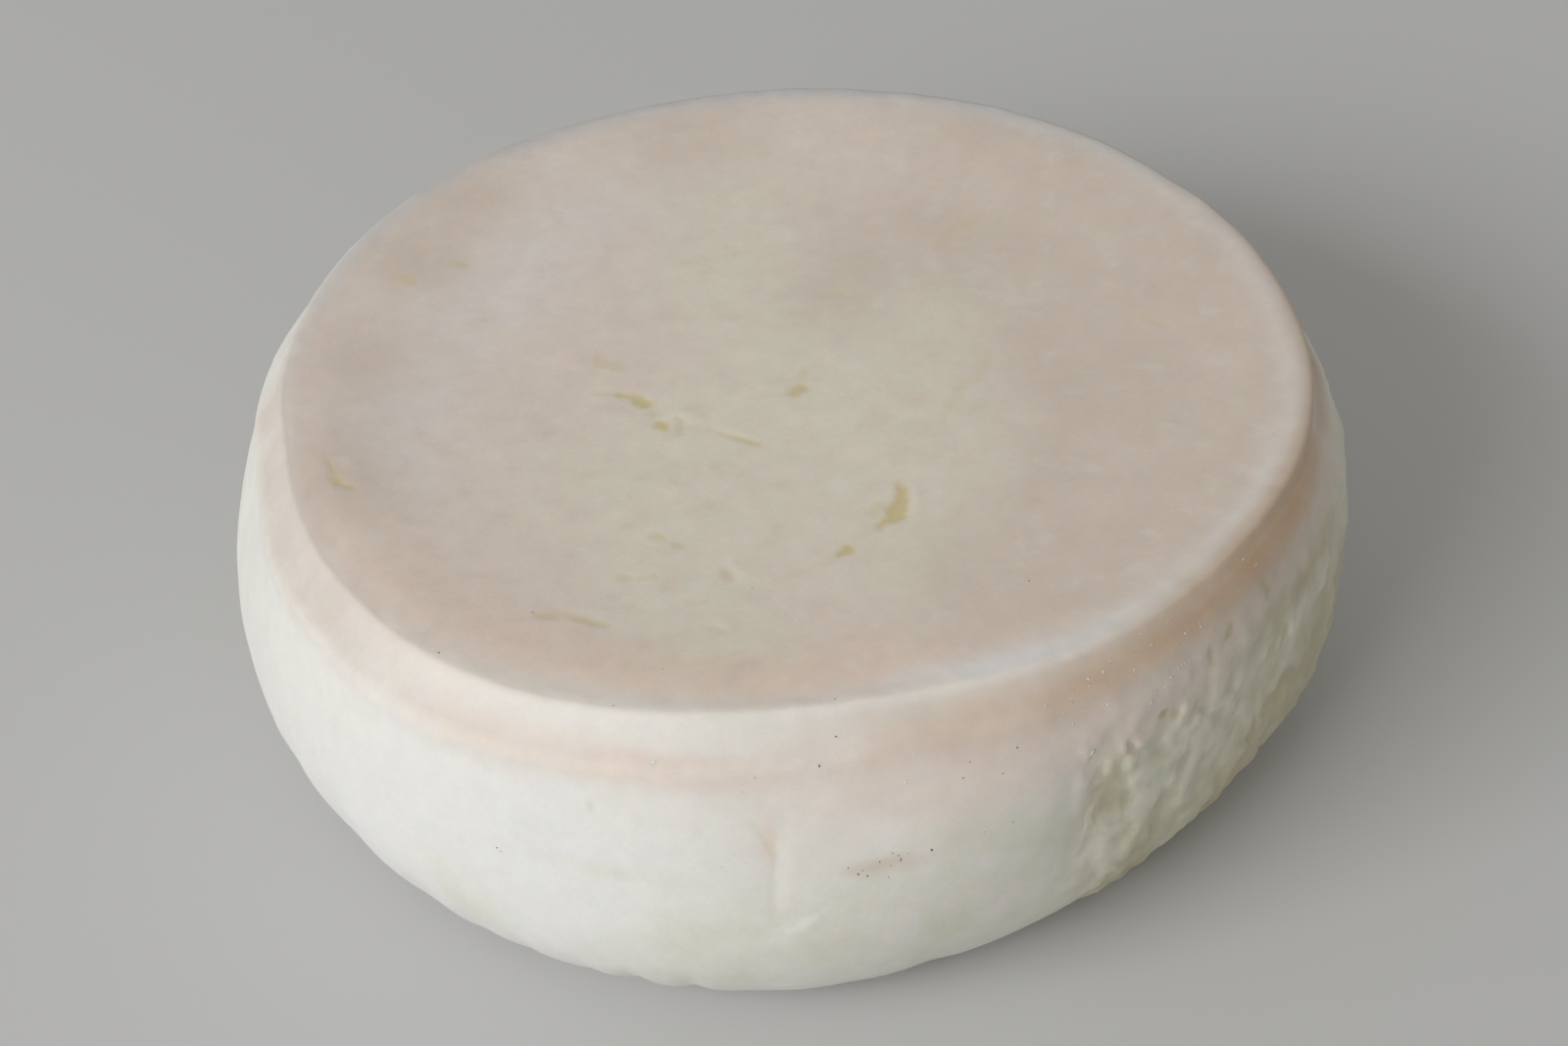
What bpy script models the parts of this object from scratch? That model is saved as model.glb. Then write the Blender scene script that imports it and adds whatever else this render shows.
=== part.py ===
"""A wheel of semi-aged goat cheese, one solid that rests on its flat underside.

The wheel was pressed in a cloth-lined mould: a dished face inside a soft raised rim, a groove
under the rim where the lid of the mould sat, and a bulging side that tucks under to the base.
Metres, +Z up. The origin is on the table, under the middle of the wheel.
"""
import math

import bmesh
import bpy
import numpy as np
from mathutils import Matrix, Vector
from mathutils.bvhtree import BVHTree

# Turned outline, before the wheel is made uneven
RIM_RADIUS = 0.0720            # crest of the raised rim
RIM_HEIGHT = 0.0525
FACE_DISH = 0.0022             # the face lies this far below the crest
RIM_SLOPE_WIDTH = 0.0120       # slope from the face up to the crest
GROOVE_RADIUS = RIM_RADIUS + 0.0015
GROOVE_HEIGHT = RIM_HEIGHT - 0.0061
BELLY_RADIUS = RIM_RADIUS + 0.0082
BELLY_HEIGHT = 0.0215
BASE_RADIUS = 0.0610           # edge of the flat that the wheel rests on
CORNER_SOFTNESS = 0.0010       # spread of the rounding on the crest and in the groove

# Unevenness of a hand-made wheel
FACE_RISE_X = math.tan(math.radians(1.63))    # the face is higher towards +X
FACE_RISE_Y = math.tan(math.radians(0.16))
# waves round the wheel, how far they stand out, direction of one crest in degrees
RIM_LOBES = ((3, 0.00056, 0), (4, 0.00055, -34))
BELLY_LOBES = ((1, 0.00046, 180), (2, 0.00092, 48), (3, 0.00077, 10), (4, 0.00110, -6))
# direction in degrees, spread in degrees, how far the rim or the whole side stands out there
RIM_SWELLS = (
    (-169, 7, -0.0007),
    (-126, 9, 0.0005),
    (-84, 11, -0.0009),
    (-57, 11, 0.0011),
    (-10, 12, 0.0008),
    (20, 9, 0.0004),
    (82, 28, 0.00095),
    (130, 12, 0.0003),
)
SIDE_SWELLS = (
    (-175, 12, -0.00035),
    (-134, 10, 0.0004),
    (-75, 12, 0.00025),
    (-33, 9, -0.0004),
    (3, 12, -0.00125),
)

# The lid pressed the wheel askew, so the groove is nearer the crest on one side of it
GROOVE_LIFT = 0.0042
GROOVE_LIFT_TOWARDS = -34      # degrees
GROOVE_LIFT_SPREAD = 32        # degrees
# The groove is shallow on the other side, where the rind has swollen into it
GROOVE_FILL = 0.0011
GROOVE_FILL_SPREAD = 0.0017    # up and down the side
GROOVE_SHALLOW_TOWARDS = -135  # degrees

# Folds that the cloth left down the side:
# direction in degrees, half width, depth, upper end and lower end above the table
CLOTH_FOLDS = (
    (-92.5, 0.0022, 0.0006, 0.040, 0.024),
    (-61.0, 0.0026, 0.0014, 0.042, 0.018),
    (-52.0, 0.0026, 0.0010, 0.043, 0.030),
    (-46.0, 0.0030, 0.0012, 0.034, 0.010),
    (-38.0, 0.0028, 0.0011, 0.040, 0.016),
    (-27.0, 0.0032, 0.0013, 0.038, 0.012),
    (-12.0, 0.0030, 0.0010, 0.040, 0.014),
    (24.0, 0.0032, 0.0012, 0.040, 0.014),
    (58.0, 0.0030, 0.0010, 0.038, 0.016),
    (104.0, 0.0032, 0.0011, 0.040, 0.014),
    (149.0, 0.0028, 0.0009, 0.036, 0.018),
)

# Eyes and cracks in the face: place, length, width, depth and turn in degrees
FACE_PITS = (
    (0.0150, -0.0288, 0.0060, 0.0024, 0.0018, 80),
    (0.0136, -0.0328, 0.0048, 0.0032, 0.0020, 35),
    (0.0120, -0.0349, 0.0014, 0.0012, 0.0008, 0),
    (0.0074, -0.0400, 0.0024, 0.0019, 0.0014, 25),
    (-0.0228, -0.0034, 0.0070, 0.0013, 0.0009, -12),
    (-0.0192, -0.0062, 0.0040, 0.0018, 0.0011, -45),
    (-0.0170, -0.0107, 0.0019, 0.0018, 0.0012, 40),
    (-0.0144, -0.0112, 0.0012, 0.0024, 0.0008, 0),
    (-0.0066, -0.0141, 0.0068, 0.0012, 0.0010, -28),
    (0.0022, -0.0043, 0.0022, 0.0020, 0.0010, 0),
    (-0.0616, -0.0194, 0.0046, 0.0013, 0.0012, -70),
    (-0.0598, -0.0226, 0.0030, 0.0013, 0.0011, -12),
    (-0.0309, -0.0507, 0.0030, 0.0012, 0.0007, -15),
    (-0.0258, -0.0521, 0.0038, 0.0012, 0.0008, -25),
)
# Pits in the side: direction in degrees, height, length up the side, width and depth
SIDE_PITS = (
    (-52.8, 0.0404, 0.0026, 0.0026, 0.0011),
    (-46.6, 0.0450, 0.0040, 0.0018, 0.0011),
    (-43.5, 0.0462, 0.0036, 0.0020, 0.0012),
    (-36.8, 0.0474, 0.0036, 0.0018, 0.0010),
)

# Fineness of the mesh
SEGMENTS = 112
FACE_RINGS = 11
RIM_RINGS = 12
SIDE_RINGS = 15
OUTLINE_STEP = 0.0001          # spacing of the fine outline that the rings are taken from

RIND_COLOUR = (0.515, 0.462, 0.402, 1.0)
RIND_ROUGHNESS = 0.62


def clear_scene():
    """Removes whatever objects the file starts with."""
    for thing in list(bpy.data.objects):
        bpy.data.objects.remove(thing, do_unlink=True)


def sharp_outline():
    """Radius and height from the middle of the face to the middle of the base, corners still sharp."""
    part = np.linspace(0.0, 1.0, 160)
    quarter = part * math.pi / 2
    face_radius = RIM_RADIUS - RIM_SLOPE_WIDTH
    face_height = RIM_HEIGHT - FACE_DISH
    stretches = (
        (face_radius * part, np.full_like(part, face_height)),
        (face_radius + RIM_SLOPE_WIDTH * part, face_height + FACE_DISH * part ** 2),
        (RIM_RADIUS + (GROOVE_RADIUS - RIM_RADIUS) * np.sqrt(part),
         RIM_HEIGHT + (GROOVE_HEIGHT - RIM_HEIGHT) * part),
        (GROOVE_RADIUS + (BELLY_RADIUS - GROOVE_RADIUS) * np.sin(quarter),
         BELLY_HEIGHT + (GROOVE_HEIGHT - BELLY_HEIGHT) * np.cos(quarter)),
        (BASE_RADIUS + (BELLY_RADIUS - BASE_RADIUS) * np.cos(quarter),
         BELLY_HEIGHT - BELLY_HEIGHT * np.sin(quarter)),
        (BASE_RADIUS * (1 - part), np.zeros_like(part)),
    )
    return np.concatenate([s[0] for s in stretches]), np.concatenate([s[1] for s in stretches])


def soft_outline():
    """The outline at even steps, its corners rounded by a running average, with its length so far."""
    radius, height = sharp_outline()
    length = np.concatenate([[0.0], np.cumsum(np.hypot(np.diff(radius), np.diff(height)))])
    even = np.linspace(0.0, length[-1], int(length[-1] / OUTLINE_STEP))
    radius, height = np.interp(even, length, radius), np.interp(even, length, height)
    reach = int(3 * CORNER_SOFTNESS / OUTLINE_STEP)
    weight = np.exp(-0.5 * (np.arange(-reach, reach + 1) * OUTLINE_STEP / CORNER_SOFTNESS) ** 2)
    weight /= weight.sum()
    past_ends = (reach, reach)
    radius = np.convolve(np.pad(radius, past_ends, "reflect", reflect_type="odd"), weight, "valid")
    height = np.convolve(np.pad(height, past_ends, "reflect"), weight, "valid")
    return radius, height, even


def ring_places():
    """Radius and height of each ring of the mesh: close at the rim and the groove, wider elsewhere."""
    radius, height, length = soft_outline()
    crest = length[np.argmax(height)]
    face_end = crest - RIM_SLOPE_WIDTH
    side_start = crest + 2 * (RIM_HEIGHT - GROOVE_HEIGHT)
    base_start = length[np.nonzero(height < 1e-6)[0][0]]
    at = np.concatenate([
        np.linspace(0.0, face_end, FACE_RINGS, endpoint=False),
        np.linspace(face_end, side_start, RIM_RINGS, endpoint=False),
        np.linspace(side_start, base_start, SIDE_RINGS + 1),
    ])
    return np.interp(at, length, radius), np.interp(at, length, height)


def turn_outline(mesh):
    """Spins the ring places round +Z and closes the base with one flat face."""
    radius, height = ring_places()
    radius[0] = 0.0
    height[-1] = 0.0
    corners = [mesh.verts.new((r, 0.0, z)) for r, z in zip(radius, height)]
    edges = [mesh.edges.new(pair) for pair in zip(corners, corners[1:])]
    bmesh.ops.spin(mesh, geom=corners + edges, cent=(0, 0, 0), axis=(0, 0, 1),
                   angle=2 * math.pi, steps=SEGMENTS, use_duplicate=False)
    bmesh.ops.remove_doubles(mesh, verts=mesh.verts, dist=1e-6)
    bmesh.ops.holes_fill(mesh, edges=[e for e in mesh.edges if e.is_boundary], sides=0)
    bmesh.ops.recalc_face_normals(mesh, faces=mesh.faces)


def turned_away(angle, direction):
    """Angle from a direction, in degrees between -180 and 180."""
    return (math.degrees(angle) - direction + 180) % 360 - 180


def lobes(angle, waves):
    """How far the low waves round the wheel stand out at this angle."""
    return sum(reach * math.cos(count * math.radians(turned_away(angle, crest)))
               for count, reach, crest in waves)


def swell(angle, swells):
    """How far the bulges and flats stand out at this angle."""
    return sum(reach * math.exp(-0.5 * (turned_away(angle, direction) / spread) ** 2)
               for direction, spread, reach in swells)


def crest_place():
    """Radius and height of the highest place of the rounded outline."""
    radius, height, _ = soft_outline()
    top = np.argmax(height)
    return radius[top], height[top]


def groove_lift(angle, height, crest_height):
    """How far the askew lid raised the side: most at the groove, nothing at the crest and the belly."""
    off_middle = turned_away(angle, GROOVE_LIFT_TOWARDS) / GROOVE_LIFT_SPREAD
    above = (crest_height - height) / (crest_height - GROOVE_HEIGHT)
    below = (height - BELLY_HEIGHT) / (GROOVE_HEIGHT - BELLY_HEIGHT)
    return GROOVE_LIFT * math.exp(-0.5 * off_middle ** 2) * max(min(above, below), 0.0)


def groove_fill(angle, height):
    """How far the groove is filled: most on its shallow side, not at all opposite."""
    share = 0.5 + 0.5 * math.cos(math.radians(turned_away(angle, GROOVE_SHALLOW_TOWARDS)))
    off_groove = (height - GROOVE_HEIGHT) / GROOVE_FILL_SPREAD
    return GROOVE_FILL * share * math.exp(-0.5 * off_groove ** 2)


def fold_depth(angle, radius, height):
    """How deep the cloth folds are pressed in: a soft channel that fades out at both ends."""
    depth = 0.0
    for direction, half_width, deepest, top, bottom in CLOTH_FOLDS:
        across = math.radians(turned_away(angle, direction)) * radius / half_width
        along = (2 * height - top - bottom) / (top - bottom)
        depth += deepest * math.exp(-0.5 * across ** 2) * math.exp(-along ** 4)
    return depth


def ease(value):
    """Smooth step from 0 to 1."""
    value = min(max(value, 0.0), 1.0)
    return value * value * (3 - 2 * value)


def make_uneven(mesh):
    """Moves each point of the turned wheel out or in, and tilts the face."""
    crest_radius, crest_height = crest_place()
    face_height = RIM_HEIGHT - FACE_DISH
    for point in mesh.verts:
        x, y, height = point.co
        radius = math.hypot(x, y)
        if radius == 0:
            continue
        angle = math.atan2(y, x)
        rim_share = ease((height - BELLY_HEIGHT) / (GROOVE_HEIGHT - BELLY_HEIGHT))
        rim_out = (lobes(angle, RIM_LOBES) + swell(angle, RIM_SWELLS)) * radius / RIM_RADIUS
        belly_out = lobes(angle, BELLY_LOBES) * radius / BELLY_RADIUS
        out = rim_share * rim_out + (1 - rim_share) * belly_out
        lift = 0.0
        if radius > crest_radius or height < face_height:
            side_share = ease((crest_height - height) / (crest_height - GROOVE_HEIGHT))
            out += side_share * swell(angle, SIDE_SWELLS) * radius / BELLY_RADIUS
            out += groove_fill(angle, height)
            lift = groove_lift(angle, height, crest_height)
        x *= (radius + out) / radius
        y *= (radius + out) / radius
        height = (height + lift) * (1 + (FACE_RISE_X * x + FACE_RISE_Y * y) / RIM_HEIGHT)
        if radius > BASE_RADIUS:
            pressed_in = 1 - fold_depth(angle, radius, height) / radius
            x *= pressed_in
            y *= pressed_in
        point.co = (x, y, height)


def centre_on_origin(mesh):
    """Slides the wheel so that its bounding box is centred on the origin; returns the shift."""
    xs = [point.co.x for point in mesh.verts]
    ys = [point.co.y for point in mesh.verts]
    shift = Vector((-(min(xs) + max(xs)) / 2, -(min(ys) + max(ys)) / 2, 0.0))
    bmesh.ops.translate(mesh, verts=mesh.verts, vec=shift)
    return shift


def rind_material():
    """Pale natural rind."""
    material = bpy.data.materials.new("rind")
    material.use_nodes = True
    shader = material.node_tree.nodes["Principled BSDF"]
    shader.inputs["Base Color"].default_value = RIND_COLOUR
    shader.inputs["Roughness"].default_value = RIND_ROUGHNESS
    shader.inputs["Metallic"].default_value = 0.0
    return material


def make_cutter(name, place, size, turn, group):
    """A flattened ball that cuts one pit; it isn't part of the cheese."""
    mesh = bmesh.new()
    bmesh.ops.create_icosphere(mesh, subdivisions=2, radius=1.0)
    bmesh.ops.transform(mesh, verts=mesh.verts, matrix=turn @ Matrix.Diagonal(size).to_4x4())
    data = bpy.data.meshes.new(name)
    mesh.to_mesh(data)
    mesh.free()
    cutter = bpy.data.objects.new(name, data)
    cutter.location = place
    cutter.hide_render = True
    cutter.display_type = "WIRE"
    group.objects.link(cutter)


def make_pits(mesh, shift):
    """One cutter for each eye, crack and pit, sunk into the surface."""
    tree = BVHTree.FromBMesh(mesh)
    group = bpy.data.collections.new("pits")
    bpy.context.scene.collection.children.link(group)
    for number, (x, y, length, width, depth, turn) in enumerate(FACE_PITS):
        above = Vector((x, y, 2 * RIM_HEIGHT)) + shift
        place = tree.ray_cast(above, Vector((0, 0, -1)))[0]
        make_cutter(f"face_pit_{number}", place, Vector((length / 2, width / 2, depth)),
                    Matrix.Rotation(math.radians(turn), 4, "Z"), group)
    for number, (direction, height, length, width, depth) in enumerate(SIDE_PITS):
        turn = Matrix.Rotation(math.radians(direction), 4, "Z")
        outwards = turn @ Vector((1, 0, 0))
        beside = 2 * BELLY_RADIUS * outwards + Vector((0, 0, height)) + shift
        place = tree.ray_cast(beside, -outwards)[0]
        make_cutter(f"side_pit_{number}", place, Vector((depth, width / 2, length / 2)), turn, group)
    return group


def build_wheel():
    """The cheese: turned, made uneven, and cut by its pits."""
    mesh = bmesh.new()
    turn_outline(mesh)
    make_uneven(mesh)
    shift = centre_on_origin(mesh)
    pits = make_pits(mesh, shift)
    data = bpy.data.meshes.new("cheese_wheel")
    mesh.to_mesh(data)
    mesh.free()
    data.shade_smooth()
    data.set_sharp_from_angle(angle=math.radians(50))
    data.materials.append(rind_material())
    wheel = bpy.data.objects.new("cheese_wheel", data)
    bpy.context.scene.collection.objects.link(wheel)
    cut = wheel.modifiers.new("pits", "BOOLEAN")
    cut.operation = "DIFFERENCE"
    cut.operand_type = "COLLECTION"
    cut.collection = pits
    cut.solver = "EXACT"


clear_scene()
build_wheel()
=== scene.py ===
"""A whole wheel of semi-aged goat cheese, with its crumbs of rind, on a pale studio floor."""
import math

import bmesh
import bpy
import numpy as np
from mathutils import Matrix, Vector


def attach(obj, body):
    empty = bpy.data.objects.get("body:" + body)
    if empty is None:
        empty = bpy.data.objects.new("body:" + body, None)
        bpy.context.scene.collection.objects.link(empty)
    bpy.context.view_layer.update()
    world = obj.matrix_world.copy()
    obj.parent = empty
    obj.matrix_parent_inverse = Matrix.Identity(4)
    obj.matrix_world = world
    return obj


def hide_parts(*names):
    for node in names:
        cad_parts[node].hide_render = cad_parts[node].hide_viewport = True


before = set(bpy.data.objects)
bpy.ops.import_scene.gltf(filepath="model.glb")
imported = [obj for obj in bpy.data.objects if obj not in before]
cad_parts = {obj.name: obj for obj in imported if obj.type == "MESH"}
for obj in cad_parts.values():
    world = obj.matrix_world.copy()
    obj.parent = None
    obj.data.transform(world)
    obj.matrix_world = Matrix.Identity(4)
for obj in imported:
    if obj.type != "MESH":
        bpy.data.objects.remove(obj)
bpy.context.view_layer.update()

MM = 0.001

# --------------------
# The turned form of the wheel. Curd pressed in a round mould under a lid: a face dished inside
# a soft raised rim, a groove where the lid's edge sat, and a side that bulged out as the cheese
# settled and tucks under to a flat base. The lid sat askew, so the groove is nearer the rim on
# one side.
RIM_RADIUS = 72.0 * MM
RIM_HEIGHT = 52.5 * MM
FACE_DISH = 2.2 * MM
RIM_SLOPE_WIDTH = 12.0 * MM
GROOVE_RADIUS = RIM_RADIUS + 1.5 * MM
GROOVE_HEIGHT = RIM_HEIGHT - 6.1 * MM
BELLY_RADIUS = RIM_RADIUS + 8.2 * MM
BELLY_HEIGHT = 21.5 * MM
BASE_RADIUS = 61.0 * MM
CORNER_SOFTNESS = 1.0 * MM
OUTLINE_STEP = 0.1 * MM

FACE_RISE_X = math.tan(math.radians(1.63))
FACE_RISE_Y = math.tan(math.radians(0.16))
# waves round the wheel, how far they stand out, direction of one crest in degrees
RIM_LOBES = ((3, 0.56 * MM, 0), (4, 0.55 * MM, -34))
BELLY_LOBES = ((1, 0.46 * MM, 180), (2, 0.92 * MM, 48), (3, 0.77 * MM, 10), (4, 1.10 * MM, -6))
# direction and spread in degrees, how far the wheel or its side stands out there
RIM_SWELLS = (
    (-169, 7, -0.7 * MM),
    (-126, 9, 0.5 * MM),
    (-84, 11, -0.9 * MM),
    (-57, 11, 1.1 * MM),
    (-10, 12, 0.8 * MM),
    (20, 9, 0.4 * MM),
    (82, 28, 0.95 * MM),
    (130, 12, 0.3 * MM),
)
SIDE_SWELLS = (
    (-175, 12, -0.35 * MM),
    (-134, 10, 0.4 * MM),
    (-75, 12, 0.25 * MM),
    (-33, 9, -0.4 * MM),
    (3, 12, -1.25 * MM),
)
GROOVE_LIFT = 4.2 * MM
GROOVE_LIFT_TOWARDS = -34
GROOVE_LIFT_SPREAD = 32
GROOVE_FILL = 1.1 * MM
GROOVE_FILL_SPREAD = 1.7 * MM
GROOVE_SHALLOW_TOWARDS = -135


def ease(value):
    """Smooth step: 0 below 0, 1 above 1, and 3v^2 - 2v^3 between."""
    value = np.clip(value, 0.0, 1.0)
    return value * value * (3 - 2 * value)


def bell(value):
    """Bell curve of height 1 and spread 1."""
    return np.exp(-0.5 * value ** 2)


def turned_away(angle, direction):
    """Angle from a direction, both in degrees, between -180 and 180."""
    return (angle - direction + 180) % 360 - 180


def facing(angle, direction):
    """1 where an angle is in the direction, 0 where it is opposite, by half a cosine."""
    return 0.5 + 0.5 * np.cos(np.radians(turned_away(angle, direction)))


def lobes(angle, waves):
    """Sum of cosine waves round the wheel."""
    return sum(reach * np.cos(count * np.radians(turned_away(angle, crest)))
               for count, reach, crest in waves)


def swell(angle, swells):
    """Sum of bell curves round the wheel."""
    return sum(reach * bell(turned_away(angle, towards) / spread)
               for towards, spread, reach in swells)


def turned_outline():
    """Radius and height along the outline, from the middle of the face to the middle of the base.

    Flat face, a parabola up the rim, a square root down the rim's wall, a quarter ellipse out to
    the belly, another in to the base, and the flat base; a running average rounds the corners.
    """
    part = np.linspace(0.0, 1.0, 160)
    quarter = part * math.pi / 2
    face_radius = RIM_RADIUS - RIM_SLOPE_WIDTH
    face_height = RIM_HEIGHT - FACE_DISH
    stretches = (
        (face_radius * part, np.full_like(part, face_height)),
        (face_radius + RIM_SLOPE_WIDTH * part, face_height + FACE_DISH * part ** 2),
        (RIM_RADIUS + (GROOVE_RADIUS - RIM_RADIUS) * np.sqrt(part),
         RIM_HEIGHT + (GROOVE_HEIGHT - RIM_HEIGHT) * part),
        (GROOVE_RADIUS + (BELLY_RADIUS - GROOVE_RADIUS) * np.sin(quarter),
         BELLY_HEIGHT + (GROOVE_HEIGHT - BELLY_HEIGHT) * np.cos(quarter)),
        (BASE_RADIUS + (BELLY_RADIUS - BASE_RADIUS) * np.cos(quarter),
         BELLY_HEIGHT - BELLY_HEIGHT * np.sin(quarter)),
        (BASE_RADIUS * (1 - part), np.zeros_like(part)),
    )
    radius = np.concatenate([stretch[0] for stretch in stretches])
    height = np.concatenate([stretch[1] for stretch in stretches])
    length = np.concatenate([[0.0], np.cumsum(np.hypot(np.diff(radius), np.diff(height)))])
    even = np.linspace(0.0, length[-1], int(length[-1] / OUTLINE_STEP))
    radius, height = np.interp(even, length, radius), np.interp(even, length, height)
    reach = int(3 * CORNER_SOFTNESS / OUTLINE_STEP)
    weight = bell(np.arange(-reach, reach + 1) * OUTLINE_STEP / CORNER_SOFTNESS)
    weight /= weight.sum()
    radius = np.convolve(np.pad(radius, reach, "reflect", reflect_type="odd"), weight, "valid")
    height = np.convolve(np.pad(height, reach, "reflect"), weight, "valid")
    return radius, height, even


outline_radius, outline_height, outline_length = turned_outline()
CREST_HEIGHT = outline_height.max()
CREST = outline_length[np.argmax(outline_height)]
GROOVE = outline_length[np.argmax((outline_length > CREST) & (outline_height < GROOVE_HEIGHT))]
BASE = outline_length[np.argmax((outline_length > GROOVE) & (outline_height < 1e-6))]


def wheel_place(along, angle):
    """Points of the uneven wheel, `along` metres down its outline and `angle` degrees round it.

    The turned outline carried round +Z. The rim's lobes and swells hold above the groove, the
    belly's lobes below, with a smooth step between. Outside the crest the side has swells of its
    own, the groove is filled by a bell curve on its shallow side, and a tent of height 1 at the
    groove lifts it by a bell curve of the angle. Then the height is tilted in proportion to
    itself, so that the base stays flat.
    """
    radius = np.interp(along, outline_length, outline_radius)
    height = np.interp(along, outline_length, outline_height)
    rim_share = ease((height - BELLY_HEIGHT) / (GROOVE_HEIGHT - BELLY_HEIGHT))
    rim_out = (lobes(angle, RIM_LOBES) + swell(angle, RIM_SWELLS)) * radius / RIM_RADIUS
    belly_out = lobes(angle, BELLY_LOBES) * radius / BELLY_RADIUS
    above = (CREST_HEIGHT - height) / (CREST_HEIGHT - GROOVE_HEIGHT)
    below = (height - BELLY_HEIGHT) / (GROOVE_HEIGHT - BELLY_HEIGHT)
    side_out = ease(above) * swell(angle, SIDE_SWELLS) * radius / BELLY_RADIUS
    fill = (GROOVE_FILL * facing(angle, GROOVE_SHALLOW_TOWARDS)
            * bell((height - GROOVE_HEIGHT) / GROOVE_FILL_SPREAD))
    outside = along > CREST
    out = rim_share * rim_out + (1 - rim_share) * belly_out + outside * (side_out + fill)
    tent = outside * np.maximum(np.minimum(above, below), 0.0)
    lift = GROOVE_LIFT * bell(turned_away(angle, GROOVE_LIFT_TOWARDS) / GROOVE_LIFT_SPREAD) * tent
    turn = np.radians(angle)
    x, y = (radius + out) * np.cos(turn), (radius + out) * np.sin(turn)
    z = (height + lift) * (1 + (FACE_RISE_X * x + FACE_RISE_Y * y) / RIM_HEIGHT)
    return np.stack([x, y, z], -1)


def wheel_outwards(along, angle):
    """Way out of the wheel's surface: the cross product of its slopes down and round it."""
    along = np.maximum(along, 0.5 * MM)
    down = wheel_place(along + 0.2 * MM, angle) - wheel_place(along - 0.2 * MM, angle)
    onwards = wheel_place(along, angle + 0.2) - wheel_place(along, angle - 0.2)
    out = np.cross(down, onwards)
    return out / np.linalg.norm(out, axis=-1, keepdims=True)


# The CAD wheel was slid until its box was centred on the origin; this one is slid as far.
every_place = wheel_place(np.linspace(0.0, BASE, 400)[:, None], np.linspace(-180, 180, 721))
slide = -(every_place.max((0, 1)) + every_place.min((0, 1))) / 2
slide[2] = 0.0

# --------------------
# Relief of the rind. Eyes and cracks that opened in the face, low flaps beside them, folds and
# pits that the cloth left in the side, and the soft lumps of the curd under the skin.

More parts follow.
